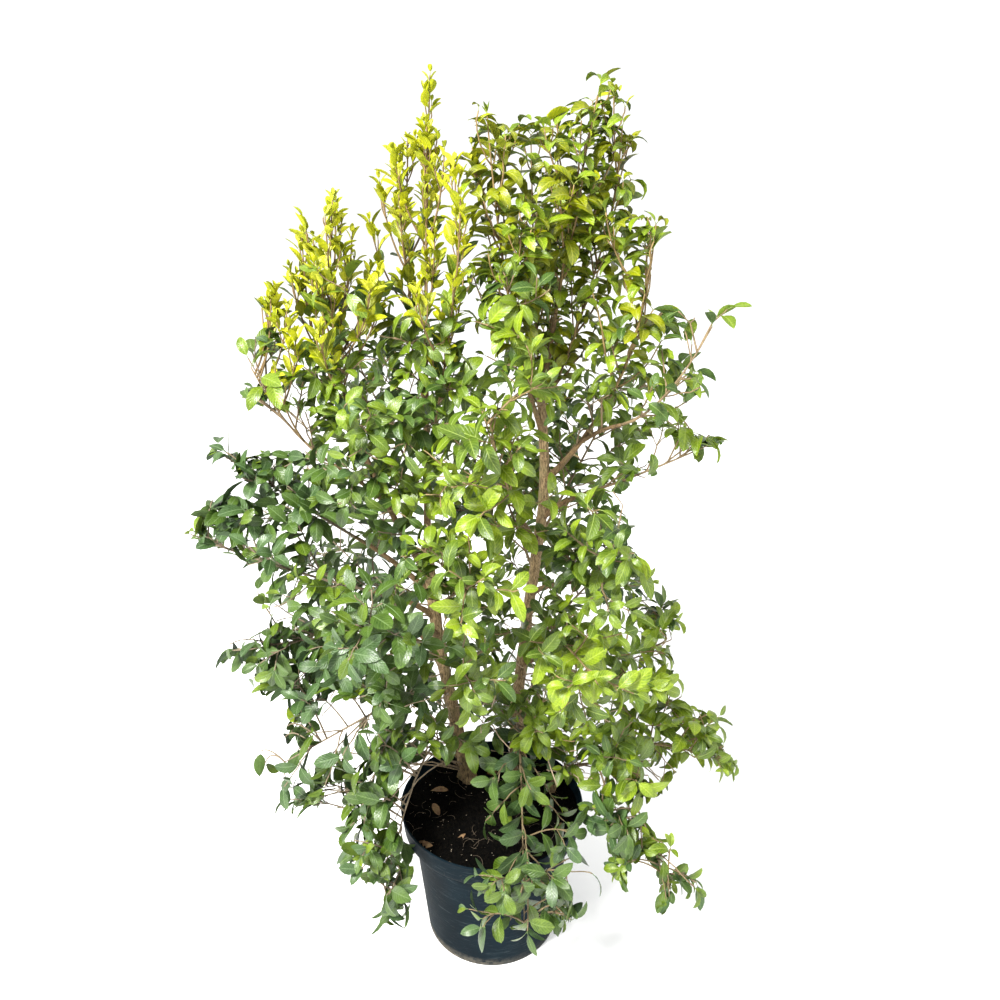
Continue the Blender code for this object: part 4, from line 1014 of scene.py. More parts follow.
def barked(route, radii, bark, seed, lobes=None, level=False, round_tip=True):
    """Rings round a limb, with ridges along it, swellings, and a rounded tip."""
    run = np.concatenate(([0], np.cumsum(np.linalg.norm(np.diff(route, axis=0), axis=1))))
    count = max(LEAST_BARK_RINGS, int(run[-1] / bark.step))
    places = np.linspace(0, run[-1], count)
    fine = points_at(places, run, route)
    wide = np.interp(places, run, radii)
    tangents = unit(np.gradient(fine, axis=0))
    if round_tip:
        left = (run[-1] - places) / wide[-1]
        wide = wide * np.sqrt(np.clip(1 - np.clip(1 - left, 0, 0.97) ** 2, 0, 1))
    side = unit(np.cross(tangents[0], BARK_SIDE))
    angles = turns_of(bark.sides)
    arounds = [(math.cos(angle) * BARK_LUMPS, math.sin(angle) * BARK_LUMPS) for angle in angles]
    rings = []
    for index, place in enumerate(places):
        normal = UP if level else tangents[index]
        side = unit(side - normal * (side @ normal))
        swell = np.array([1 + bark.depth * sum(share * relief(around, place, size, pitch, seed + later)
                                               for share, size, pitch, later in BARK_RELIEF)
                          for around in arounds])
        if lobes is not None:
            swell += np.interp(place, run, lobes) * np.cos(FLARE_LOBES * angles)
        reach = wide[index] * swell
        rings.append(fine[index] + np.outer(reach * np.cos(angles), side)
                     + np.outer(reach * np.sin(angles), np.cross(normal, side)))
    return np.array(rings)


def dress_trunk(number, trunk, finish):
    route, radii, near_foot = trunk_shape(trunk, BARK_TRUNK_RINGS)
    route[0] = route[0] - UP * ROOTED
    rings = barked(route, radii, TRUNK_BARK, TRUNK_SEEDS + number, lobes=FLARE_LOBE_DEPTH * near_foot, level=True)
    piece = make_turned(trunk.name + "_bark", rings, finish)
    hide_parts(trunk.name)


def dress_bough(number, bough, finish):
    parent = limbs[bough.parent]
    route = bough_route(bough, BARK_BOUGH_RINGS)
    away = np.linalg.norm(route - route[0], axis=1)
    parent_radius = parent.radius_at(parent.nearest(route[:1])[1][0])
    foot = bough.foot_radius
    collar = BRANCH_COLLAR * foot * np.exp(-np.clip(away - parent_radius, 0, None) / (BRANCH_COLLAR_RUN * foot))
    radii = foot + (bough.tip_radius - foot) * np.linspace(0, 1, BARK_BOUGH_RINGS) + collar
    radii = np.minimum(radii, parent_radius * BOUGH_TO_PARENT)
    rings = barked(route, radii, BOUGH_BARK, BOUGH_SEEDS + number, round_tip=False)
    piece = make_turned(bough.name + "_bark", rings, finish)
    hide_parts(bough.name)


Twigs = namedtuple("Twigs", "routes radii sprays parents shares")


def wavering(rng, routes):
    """Routes with a slight unevenness at every ring but the first."""
    sway = rng.normal(0, TWIG_SWAY, routes.shape) * (lengths_of(routes)[:, None, None] / TWIG_RINGS)
    sway[:, 0] = 0
    return routes + sway


def sideways_of(routes, tangents, reference):
    """Directions straight out from routes at their tangents, the same way all along each route."""
    overall = unit(routes[:, -1] - routes[:, 0])
    return square_to(tangents, unit(np.cross(overall, reference)))


def side_twigs(rng, parents, habit, space, spacing, first, last, length_of, radius, own_spray):
    """Opposite pairs of twigs on each parent, each pair turned a right angle from the last."""
    rows = []
    for row, length in enumerate(lengths_of(parents.routes)):
        pairs = max(1, round(length * (last - first) / spacing))
        for pair in range(pairs):
            share = first + (last - first) * (pair + 0.5) / pairs
            rows += [(row, share, 90 * pair + half) for half in (0, 180)]
    rows = np.array(rows).reshape(-1, 3)
    parent = rows[:, 0].astype(int)
    share = np.clip(rows[:, 1] + rng.uniform(-TWIG_PLACE_SCATTER, TWIG_PLACE_SCATTER, len(rows)), *TWIG_PLACES)
    points, tangents = along(parents.routes[parent], share)
    side = sideways_of(parents.routes[parent], tangents, TWIG_SIDE)
    found = np.full((len(rows), TWIG_RINGS, 3), np.nan)
    for attempt in range(TRIES):
        waiting = np.isnan(found[:, 0, 0])
        if not waiting.any():
            break
        count = int(waiting.sum())
        spread = TWIG_SPREAD + MORE_SPREAD * attempt
        tangent = tangents[waiting]
        around = turned(side[waiting], tangent, rows[waiting, 2] + rng.uniform(-spread, spread, count))
        angle = np.radians(habit.shoot_angle + rng.uniform(-TWIG_ANGLE_SCATTER, TWIG_ANGLE_SCATTER, count))[:, None]
        heading = tangent * np.cos(angle) + around * np.sin(angle)
        length = (length_of(parent[waiting], share[waiting]) * rng.uniform(*TWIG_LENGTHS, count)
                  * (1 - SHORTER_EACH_TRY * attempt))[:, None]
        start = points[waiting]
        wander = rng.normal(0, TWIG_WANDER, (count, 3)) * length
        end = start + (heading * (1 - 0.6 * habit.turn) + UP * habit.rise) * length
        routes = wavering(rng, bezier(start, start + heading * length * 0.5 + wander, end, TWIG_RINGS))
        held = space.holds(routes[:, 3:], TWIGS_CROSS)
        found[np.flatnonzero(waiting)[held]] = routes[held]
    kept = ~np.isnan(found[:, 0, 0])
    routes = found[kept]
    wide = radius * np.clip(lengths_of(routes) / FULL_TWIG_LENGTH, *TWIG_WIDTHS)[:, None]
    radii = TIP_RADIUS + (wide - TIP_RADIUS) * np.linspace(1, 0, TWIG_RINGS)
    sprays = np.arange(len(routes)) + 1 if own_spray else parents.sprays[parent[kept]]
    return Twigs(routes, radii, sprays, parent[kept], share[kept])


def picked(record, rows):
    """The same record with only some of its rows."""
    return type(record)(*(part[rows] for part in record))


def trimmed(twigs, reach):
    """Twigs cut back to a share of their length, left out where that share is nothing."""
    places = np.clip(reach, LEAST_TWIG, 1.0)[:, None] * np.linspace(0, 1, TWIG_RINGS) * (TWIG_RINGS - 1)
    index = np.minimum(places.astype(int), TWIG_RINGS - 2)
    rows = np.arange(len(twigs.routes))[:, None]
    step = twigs.routes[rows, index + 1] - twigs.routes[rows, index]
    routes = twigs.routes[rows, index] + step * (places - index)[..., None]
    return picked(twigs._replace(routes=routes), reach > 0)


Leaves = namedtuple("Leaves", "roots along facing lengths widths blunts folds curls twists shades")
# What the leaves of each spray share: the shade of grown ones, whether it is growing, and their size
Looks = namedtuple("Looks", "shades growing sizes")


def hides_trunk(points, secrecy):
    """Which points would stand before a stretch of trunk that shows in the front view."""
    eye = np.array(CAMERA_PLACE)
    hidden = np.zeros(len(points), bool)
    for name, low, high, half_width, share in CLEAR_VIEWS:
        route = limbs[name].route
        depth = np.interp((low + high) / 2, route[:, 2], route[:, 1])
        cast = eye + (points - eye) * ((depth - eye[1]) / (points[:, 1] - eye[1]))[:, None]
        aside = np.abs(cast[:, 0] - np.interp(cast[:, 2], route[:, 2], route[:, 0]))
        before = points[:, 1] < depth
        hidden |= before & (aside < half_width) & (cast[:, 2] > low) & (cast[:, 2] < high) & (secrecy < share)
    return hidden


def pairs_on(rng, twigs, family):
    """A row for each leaf: its twig, the share along it, its pair's number from the tip back, and its half turn."""
    gaps = PAIR_GAPS[family.growing < 1.0]
    rows = []
    for row, length in enumerate(lengths_of(twigs.routes)):
        back = FIRST_PAIR
        pair = 0
        while back < length * family.leafy:
            rows += [(row, 1 - back / length, pair, half) for half in (0, 180)]
            back += family.spacing * gaps[min(pair, len(gaps) - 1)] * rng.uniform(*PAIR_SCATTER)
            pair += 1
    return np.array(rows)


def staged(pairs, growing, stages):
    """A factor for each pair, from the first row of stages where it is growing and else from the second."""
    young, rested = (np.interp(pairs, range(len(stage)), stage) for stage in stages)
    return np.where(growing, young, rested)


def leaves_on(rng, twigs, habit, family, space, looks):
    """Leaves in opposite pairs, from each twig's tip back along its leafy part, the youngest at the tip."""
    rows = pairs_on(rng, twigs, family)
    total = len(rows)
    twig = rows[:, 0].astype(int)
    pair = rows[:, 2].astype(int)
    spray = twigs.sprays[twig]
    points, tangents = along(twigs.routes[twig], np.clip(rows[:, 1], 0, 1))
    side = sideways_of(twigs.routes[twig], tangents, LEAF_SIDE)
    growing = looks.growing[spray]
    high = points[:, 2] + rng.normal(0, YOUNG_ABOVE_SCATTER, total) > family.young_above
    young = growing & ((pair < family.young + rng.integers(-1, 2, total)) | high)
    size = staged(pair, growing, LEAF_SIZES) * (rng.uniform(*LEAF_SIZE_SCATTER, total) * looks.sizes[spray])
    size = np.where(young, size, size * family.grown)
    secrecy = rng.uniform(size=total)
    found, left_out = np.zeros((2, total), bool)
    heading, facing = np.zeros((2, total, 3))
    for attempt in range(LEAF_TRIES):
        waiting = np.flatnonzero(~found & ~left_out)
        if not len(waiting):
            break
        count = len(waiting)
        tangent = tangents[waiting]
        spread = LEAF_SPREAD + MORE_SPREAD * attempt
        around = turned(side[waiting], tangent,
                        90 * pair[waiting] + rows[waiting, 3] + rng.uniform(-spread, spread, count))
        opening = habit.leaf_angle * staged(pair[waiting], growing[waiting], LEAF_OPENINGS)
        opening = opening + rng.uniform(-LEAF_OPENING_SCATTER, LEAF_OPENING_SCATTER, count)
        out = turned(tangent, unit(np.cross(tangent, around)), opening)
        droop = UP * habit.droop * (pair[waiting] > 1)[:, None] * rng.uniform(*LEAF_DROOPS, count)[:, None]
        out = unit(out - droop)
        face = square_to(out, square_to(out, tangent) * (1 - habit.level) + UP * habit.level)
        face = turned(face, out, rng.uniform(-LEAF_ROLL_SCATTER, LEAF_ROLL_SCATTER, count))
        blade = family.length * size[waiting][:, None]
        root = points[waiting]
        side_step = np.cross(out, face) * family.width * size[waiting][:, None] / 2
        middle = root + out * blade * MARGINS_TESTED
        samples = np.stack((middle + side_step, middle - side_step, root + out * blade * TIP_TESTED), axis=1)
        open_sky = in_sky(samples.reshape(-1, 3), 0.0).reshape(count, -1).any(axis=1)
        left_out[waiting[open_sky]] = True
        held = ~open_sky & space.holds(samples, LEAVES_CROSS)
        held &= ~hides_trunk(samples[:, :2].mean(axis=1), secrecy[waiting])
        grown = waiting[held]
        heading[grown], facing[grown], found[grown] = out[held], face[held], True
    shades = np.where(young, rng.choice(family.young_shades, total), looks.shades[spray])
    strays = ~young & (rng.uniform(size=total) < STRAY_SHADES)
    shades = np.where(strays, rng.choice(family.grown_shades, total), shades)
    slim = np.where(young, YOUNG_WIDTH, 1.0) * rng.uniform(*LEAF_WIDTHS, total)
    fold = np.where(young, family.fold * YOUNG_FOLD, family.fold) * rng.uniform(*LEAF_FOLDS, total)
    curl = np.where(young, family.curl * YOUNG_CURL, family.curl) * rng.uniform(*LEAF_CURLS, total)
    twist = rng.normal(0, LEAF_TWIST_SCATTER, total)
    blunt = np.clip(family.blunt + rng.normal(0, LEAF_BLUNT_SCATTER, total), 0, 1)
    everything = Leaves(points, heading, facing, family.length * size, family.width * size * slim, blunt, fold,
                        curl, twist, shades)
    return picked(everything, found), twig[found], rows[found, 1]


# A blade's stations from stalk to tip, and its points across from one margin to the other
STATIONS = np.array((0.0, 0.09, 0.26, 0.46, 0.67, 0.87, 1.0))
POINTED_WIDTHS = np.array((0.0, 0.44, 0.88, 1.0, 0.86, 0.46, 0.0))
BLUNT_WIDTHS = np.array((0.0, 0.36, 0.80, 1.0, 0.97, 0.64, 0.0))
ACROSS = np.array((-1.0, -0.55, 0.0, 0.55, 1.0))
# Each station's points: those across, then the one under the middle
RIGHT = len(ACROSS) - 1
UNDER = len(ACROSS)
ROW = len(ACROSS) + 1
CUP = 0.22
BLADE_THICKNESS = 0.0004
STALK = 0.0045


def midlines(leaves):
    """The middle line of each blade, and the directions up and sideways at each station."""
    bend = np.radians(leaves.curls)[:, None]
    turn = bend * STATIONS
    forward, sink = np.sin(turn) / bend, -(1 - np.cos(turn)) / bend
    head = leaves.along[:, None, :]
    face = leaves.facing[:, None, :]
    reach = (leaves.lengths - STALK)[:, None, None]
    lines = leaves.roots[:, None, :] + head * STALK + reach * (forward[..., None] * head + sink[..., None] * face)
    ups = np.sin(turn)[..., None] * head + np.cos(turn)[..., None] * face
    sides = np.cross(head, face)
    roll = (np.radians(leaves.twists)[:, None] * STATIONS)[..., None]
    return lines, ups * np.cos(roll) + sides * np.sin(roll), sides * np.cos(roll) - ups * np.sin(roll)


def blade_faces():
    """Faces of one blade: two sheets that share their margins, as quads and triangles, upper then lower."""
    starts = range(1, 1 + ROW * (len(STATIONS) - 2), ROW)
    last, tip = starts[-1], starts[-1] + ROW
    upper = [(column, column + 1) for column in range(RIGHT)]
    lower = [(0, UNDER), (UNDER, RIGHT)]
    upper_quads = [(near + left, near + right, near + ROW + right, near + ROW + left)
                   for near in starts[:-1] for left, right in upper]
    lower_quads = [(near + left, near + ROW + left, near + ROW + right, near + right)
                   for near in starts[:-1] for left, right in lower]
    upper_ends = [end for left, right in upper
                  for end in ((0, 1 + right, 1 + left), (last + left, last + right, tip))]
    lower_ends = [end for left, right in lower
                  for end in ((0, 1 + left, 1 + right), (last + left, tip, last + right))]
    return [np.array(part) for part in (upper_quads, upper_ends, lower_quads, lower_ends)]


def blade_points(leaves):
    lines, ups, sides = midlines(leaves)
    sides = sides[:, :, None, :]
    blunt = leaves.blunts[:, None]
    half = (leaves.widths / 2)[:, None] * (POINTED_WIDTHS * (1 - blunt) + BLUNT_WIDTHS * blunt)
    fold = np.tan(np.radians(leaves.folds))[:, None, None]
    lift = half[..., None] * (fold * np.abs(ACROSS) - CUP * ACROSS ** 2)
    upper = (lines[:, :, None, :] + sides * (half[..., None] * ACROSS)[..., None]
             + ups[:, :, None, :] * lift[..., None])
    lower = lines - ups * BLADE_THICKNESS
    rows = np.concatenate((upper, lower[:, :, None, :]), axis=2)[:, 1:-1].reshape(len(lines), -1, 3)
    return np.concatenate((lines[:, :1], rows, lines[:, -1:]), axis=1)


def blade_outline():
    """How far across and along the blade each of its points lies, from 0 to 1."""
    rows = [(0.5, STATIONS[0])]
    for station in STATIONS[1:-1]:
        rows += [(0.5 + across / 2, station) for across in (*ACROSS, 0.0)]
    return np.array(rows + [(0.5, STATIONS[-1])])


def make_blades(name, leaves, finishes):
    points = blade_points(leaves)
    count, each = points.shape[:2]
    starts = (np.arange(count) * each)[:, None, None]
    names = list(SHADES)
    shade = np.array([names.index(value) for value in leaves.shades])
    faces, shades = [], []
    for part, behind in zip(blade_faces(), (0, 0, len(names), len(names))):
        faces.append((starts + part).reshape(-1, part.shape[1]))
        shades.append(np.repeat(shade + behind, len(part)))
    margin = np.zeros(each, bool)
    margin[[0, -1]] = margin[1:-1:ROW] = margin[1 + RIGHT:-1:ROW] = True
    return new_piece(name, points, faces, finishes, shades, sharp=np.tile(margin, count),
                     outline=np.tile(blade_outline(), (count, 1)))


RIB_SIDES = 3
RIB_STATIONS = (0, 2, 3, 4, 5)
RIB_RADII = np.array((0.00070, 0.00060, 0.00048, 0.00040, 0.00032, 0.00018))
RIB_LIFT = 0.0001
RIBBED_LENGTH = 0.045


def make_ribs(name, leaves, finish):
    """Each leaf's stalk, running on as the midrib along the middle of its blade."""
    lines, ups, _ = midlines(leaves)
    ribs = lines[:, RIB_STATIONS] + ups[:, RIB_STATIONS] * RIB_LIFT
    routes = np.concatenate((leaves.roots[:, None, :], ribs), axis=1)
    radii = np.sqrt(leaves.lengths / RIBBED_LENGTH)[:, None] * RIB_RADII
    return make_tubes(name, routes, radii, RIB_SIDES, finish)


carriers = dict(limbs)


def tapered(route, radius):
    """A single twig along a route."""
    radii = np.linspace(radius, TIP_RADIUS, TWIG_RINGS)
    return Twigs(route[None], radii[None], np.zeros(1, int), np.zeros(1, int), np.zeros(1))


def grow_on(rng, stems, habit, family, space, shoot_length, shoot_spacing, first, sided=False):
    """The shoots of a stem, their side shoots where it is sided, and the leaves on all of them."""
    shoots = side_twigs(rng, stems, habit, space, shoot_spacing, first, SHOOTS_TO, shoot_length,
                        SHOOT_RADIUS, own_spray=True)
    shoot_lengths = lengths_of(shoots.routes)

    def side_length(parents, share):
        return shoot_lengths[parents] * SIDE_SHOOT_SHARE * (1.1 - 0.5 * share)

    sides = side_twigs(rng, shoots, habit, space, SIDE_SHOOT_SPACING, *SIDE_SHOOTS, side_length,
                       SIDE_SHOOT_RADIUS, own_spray=False)
    if not sided:
        sides = picked(sides, slice(0))
    count = len(shoots.routes) + 1
    looks = Looks(rng.choice(family.grown_shades, count), rng.uniform(size=count) < family.growing,
                  rng.uniform(*SPRAY_SIZES, count))
    twigs, leaves, children = [], [], None
    for part in (sides, shoots, stems):
        reach = np.zeros(len(part.routes))
        if len(reach):
            grown, bearers, places = leaves_on(rng, part, habit, family, space, looks)
            leaves.append(grown)
            np.maximum.at(reach, bearers, places)
        if children is not None:
            np.maximum.at(reach, children.parents, children.shares)
        children = trimmed(part, reach)
        twigs.append(children)
    return twigs, leaves


def grow_mass(number, mass):
    """A mass's stem, shoots and side shoots, and the leaves on them."""
    rng = np.random.default_rng(FIRST_SEED + number)
    family = FAMILIES[mass.family]
    habit = HABITS[mass.habit]
    stem = bezier(*stem_ends(mass, family.length * STEM_STOPS_SHORT), TWIG_RINGS)
    foot = min(STEM_RADIUS, limbs[mass.parent].radii[-1] * STEM_FOOT_SHARE)
    young = mass.family == "flush"

    def shoot_length(parents, share):
        return mass.reach * habit.shoot_share * (1.25 - 0.55 * share) * (YOUNG_SHOOT_SHARE if young else 1.0)

    twigs, leaves = grow_on(rng, tapered(stem, foot), habit, family, Space(middle_lines[mass.name], mass.reach),
                            shoot_length, SHOOT_SPACING, YOUNG_SHOOTS_FROM if young else SHOOTS_FROM,
                            sided=not young and mass.reach > SIDED_FROM_REACH)
    carriers[mass.name] = Limb(twigs[-1].routes[0], np.full(TWIG_RINGS, TIP_RADIUS))
    return twigs, leaves


def foot_of(tip, upright):
    """Where a twig with this tip leaves its carrier: close by, and well below the tip where it is upright."""
    choices = []
    for carrier in carriers.values():
        run = np.arange(len(carrier.route))
        rows = points_at(np.linspace(0, run[-1], FEET_TRIED), run, carrier.route)
        offsets = np.array(tip) - rows
        away = np.linalg.norm(offsets, axis=1)
        rise = offsets[:, 2]
        if upright:
            aside = np.hypot(offsets[:, 0], offsets[:, 1])
            cost = away + LEANING_COST * np.clip(SPIRE_STEEPNESS * aside - rise, 0, None)
            cost += SPIRE_RISE_COST * np.clip(SPIRE_RISE - rise, 0, None)
        else:
            cost = away + SPRAY_RISE_COST * np.clip(SPRAY_RISE - rise, 0, None)
            cost += NEARNESS_COST * np.clip(SPRAY_NEAREST - away, 0, None)
            onward = unit(np.gradient(rows, axis=0))
            cost += TURNING_COST * np.clip(TURNING_FROM - (offsets * onward).sum(1) / away, 0, None)
        index = int(cost.argmin())
        choices.append((cost[index], rows[index]))
    return min(choices, key=lambda choice: choice[0])[1]


def grow_single(seed, tip, start, control, family, habit, single, sided=False):
    """One twig to a tip, with its shoots and leaves, in the room round its own line."""
    route = bezier(start, control, tip - unit(tip - control) * family.length * single.stops_short, TWIG_RINGS)
    shoot = single.shoot or single.reach * habit.shoot_share

    def shoot_length(parents, share):
        return shoot * (1.2 - single.fall * share)

    space = Space(Limb(np.vstack((route, tip))), single.reach, single.taper)
    return grow_on(np.random.default_rng(seed), tapered(route, single.radius), habit, family, space, shoot_length,
                   single.spacing, single.first, sided)


def grow_spire(number, tip, name):
    """An upright shoot from the nearest limb or stem below it, with short tufted side shoots."""
    tip = np.array(tip)
    start = foot_of(tip, upright=True)
    control = start + (tip - start) * SPIRE_BEND
    habit = HABITS["spire" if name == "flush" else "crown"]
    return grow_single(FIRST_SEED * 2 + number, tip, start, control, FAMILIES[name], habit, SINGLES[name])


def grow_spray(seed, spray, size):
    """A spray or a short sprig from the nearest limb or stem, with leaves all along it."""
    tip = np.array(spray.tip)
    start = foot_of(tip, upright=False)
    control = arched(start, tip, SINGLE_ARCHES[size][spray.habit == "drop"])
    sided = size == "spray" and spray.habit != "drop"
    return grow_single(seed, tip, start, control, FAMILIES[spray.family], HABITS[spray.habit], SINGLES[size], sided)


def join(parts):
    """Rows of several records of the same kind put together."""
    return type(parts[0])(*(np.concatenate(columns) for columns in zip(*parts)))


def dress_foliage():
    upper = [leaf_finish("leaf_" + name, tone(*shade), 0.20, 0.16, 0.50) for name, shade in SHADES.items()]
    lower = [leaf_finish("under_" + name, shifted(tone(*shade), 1.2, 1.15, 1.5), 0.50, 0.18, 0.25)
             for name, shade in SHADES.items()]
    grown = {}

    def keep(tip, family, growth, *masses):
        kind = ("left" if tip[0] < 0 else "right", family)
        for kept, new in zip(grown.setdefault(kind, ([], [], [])), (*growth, masses)):
            kept.extend(new)

    for number, mass in enumerate(MASSES):
        keep(mass.tip, mass.family, grow_mass(number, mass), mass.name)
    spires = [(name, tip) for name, tips in SPIRES.items() for tip in tips]
    for number, (name, tip) in enumerate(spires, 1):
        keep(tip, name, grow_spire(number, metres(*tip), name))
    for size, seed, rows in (("spray", FIRST_SEED * 3, SPRAYS), ("sprig", FIRST_SEED * 7, SPRIGS)):
        for number, spray in enumerate(rows):
            keep(spray.tip, spray.family, grow_spray(seed + number, spray, size))
    rib_finishes = {name: rib_finish(name + "_rib", tone(*family.rib)) for name, family in FAMILIES.items()}
    twig_finishes = {name: twig_finish(name + "_twig", tone(*family.twig)) for name, family in FAMILIES.items()}
    for (side, name), (twigs, leaves, masses) in grown.items():
        twigs, leaves = join(twigs), join(leaves)
        title = side + "_" + name
        blades = make_blades(title + "_leaves", leaves, upper + lower)
        if masses:
            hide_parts(*masses)
        make_ribs(title + "_ribs", leaves, rib_finishes[name])
        make_tubes(title + "_twigs", twigs.routes, twigs.radii, TWIG_SIDES, twig_finishes[name])


# Thin bare twigs low in the plant: the limb that they leave, and for each the height of its foot, the place of its
# tip and how far it arches, in millimetres
BARE_TWIGS = (
    ("left_trunk",
     (245, -170, -20, 330, 30), (250, -200, -30, 300, 45), (262, -185, 40, 380, 30), (255, -150, -80, 290, 40),
     (280, -220, 10, 400, 30), (300, -190, -60, 360, 35), (320, -240, 50, 440, 20), (268, -140, 110, 360, 20),
     (360, -180, -90, 420, 20), (420, -120, -110, 520, 10)),
    ("right_trunk",
     (262, 10, -60, 330, 30), (275, -20, 0, 420, 10), (300, 130, -60, 400, 10), (350, 150, 10, 500, 0),
     (380, -20, -60, 480, 10), (420, 120, -80, 560, 0), (330, 80, 190, 420, 10), (480, 150, 40, 600, 0)),
    ("third_stem", (262, 180, -20, 380, 10), (255, 140, -60, 340, 15)),
    ("left_trunk", (440, -20, -50, 540, 0), (500, -150, -60, 580, 0), (540, -10, -40, 640, 0)),
    ("right_trunk", (550, 10, -20, 640, 0)),
    ("left_trunk",
     (248, -150, 20, 285, 22), (252, -190, -10, 320, 40), (290, -235, -40, 330, 45), (310, -160, -110, 330, 40)),
    ("right_trunk", (245, 60, -10, 275, 15)),
    ("third_stem", (250, 150, 0, 310, 10)),
    ("left_trunk",
     (600, -270, -30, 580, 30), (560, -240, -60, 500, 40), (500, -260, -40, 450, 40), (470, -220, -90, 400, 40),
     (440, -190, -100, 350, 50), (580, -210, -90, 560, 30)),
    ("right_trunk",
     (420, 220, -60, 410, 30), (460, 200, -40, 500, 20), (400, 100, -90, 360, 30), (520, 0, -80, 500, 20)),
    ("left_trunk", (400, 30, -80, 420, 20)),
    ("third_stem", (270, 230, -60, 330, 30)),
)
BARE_RADIUS = 0.0015
BARE_SIDE_RADIUS = 0.0010
BARE_SIDES_KEPT = 0.6
BARE_SIDE_LENGTH = 0.055
BARE_SIDE_SPACING = 0.120
BARE_SIDE_SHARES = (0.2, 0.95)
BARE_ROOM = (0.09, 0.2)
BARE_WANDER = 0.012


def dress_bare_twigs():
    rng = np.random.default_rng(FIRST_SEED * 4)
    twigs = []
    for name, *rows in BARE_TWIGS:
        for row in rows:
            height, *tip, arch = metres(*row)
            start = limbs[name].at_height(height)
            tip = np.array(tip)
            control = arched(start, tip, arch) + rng.normal(0, BARE_WANDER, 3)
            route = wavering(rng, bezier(start, control, tip, TWIG_RINGS)[None])[0]
            stem = tapered(route, BARE_RADIUS)
            sides = side_twigs(rng, stem, HABITS["spray"], Space(Limb(route), *BARE_ROOM), BARE_SIDE_SPACING,
                               *BARE_SIDE_SHARES, lambda parents, share: BARE_SIDE_LENGTH * (1.2 - 0.5 * share),
                               BARE_SIDE_RADIUS, own_spray=False)
            twigs += [stem, picked(sides, rng.uniform(size=len(sides.routes)) < BARE_SIDES_KEPT)]
    twigs = join(twigs)
    make_tubes("bare_twigs", twigs.routes, twigs.radii, TWIG_SIDES, twig_finish("bare_twig", tone(158, 142, 116)))


def soil_height(x, y):
    """The soil's surface, level round each stem's foot and dipping gently between them."""
    nearest = min(math.hypot(x - trunk.route[0][0], y - trunk.route[0][1]) for trunk in TRUNKS)
    away = min(1.0, max(0.0, nearest / SOIL_LEVEL_RADIUS - 1.0))
    ripple = sum(share * (1 + math.sin(x * along_x + y * along_y)) for share, along_x, along_y in SOIL_RIPPLES)
    return SOIL_TOP - SOIL_DIP * away * ripple


def crumbly(x, y):
    """The soil's surface with its lumps and crumbs."""
    height = soil_height(x, y)
    for pitch, seed, size in SOIL_RELIEF:
        height += noise.noise(Vector((x * pitch, y * pitch, seed))) * size
    return height


def on_soil(rng, count, inner=0.0, outer=0.138):
    """Places scattered over the soil's surface."""
    away = np.sqrt(rng.uniform(inner ** 2, outer ** 2, count))
    angle = rng.uniform(0, 2 * math.pi, count)
    x, y = away * np.cos(angle), away * np.sin(angle)
    return np.column_stack((x, y, [crumbly(*place) for place in zip(x, y)]))


# A lump of twelve corners and twenty faces
GOLDEN = 1.618
LUMP_EDGE = 1.2
LUMP_CORNERS = unit(np.array([(0, a, b * GOLDEN) for a in (-1, 1) for b in (-1, 1)]
                             + [(a, b * GOLDEN, 0) for a in (-1, 1) for b in (-1, 1)]
                             + [(a * GOLDEN, 0, b) for a in (-1, 1) for b in (-1, 1)]))


def lump_faces():
    """The triangles between the corners of a lump, facing out."""
    faces = []
    for a, b, c in combinations(range(len(LUMP_CORNERS)), 3):
        corners = LUMP_CORNERS[[a, b, c]]
        sides = np.linalg.norm(corners - np.roll(corners, 1, axis=0), axis=1)
        if sides.max() < LUMP_EDGE:
            out = np.dot(np.cross(corners[1] - corners[0], corners[2] - corners[0]), corners[0]) > 0
            faces.append((a, b, c) if out else (a, c, b))
    return np.array(faces)


def scatter_lumps(name, places, sizes, rng, finish):
    each = len(LUMP_CORNERS)
    shapes = LUMP_CORNERS * rng.uniform(0.6, 1.25, (len(places), each, 1))
    shapes = shapes * (sizes[:, None] * rng.uniform(0.6, 1.3, (len(places), 3)))[:, None, :]
    faces = (np.arange(len(places)) * each)[:, None, None] + lump_faces()
    return new_piece(name, places[:, None, :] + shapes, [faces.reshape(-1, 3)], [finish], soft=False)


CRUMBS = 1500
SPECKS = 110
FIBRES = 70
CRUMB_SIZES = (0.0006, 0.0028)
SPECK_SIZES = (0.0004, 0.0011)
FIBRE_LENGTHS = (0.008, 0.036)
FIBRE_RADII = (0.00034, 0.00020)
FIBRE_LIFT = 0.0012
FIBRE_ARCH = 0.004
LITTER_LEAVES = 6
LITTER_LIFT = 0.003
FALLEN_LEAVES = ((0.019, 0.073, 0.240), (-0.100, 0.009, 0.236))
CUT_STUB = ((-0.002, 0.090, 0.226), (0.003, 0.088, 0.250))
CUT_STUB_PLACES = 12
CUT_STUB_RADIUS = 0.0085


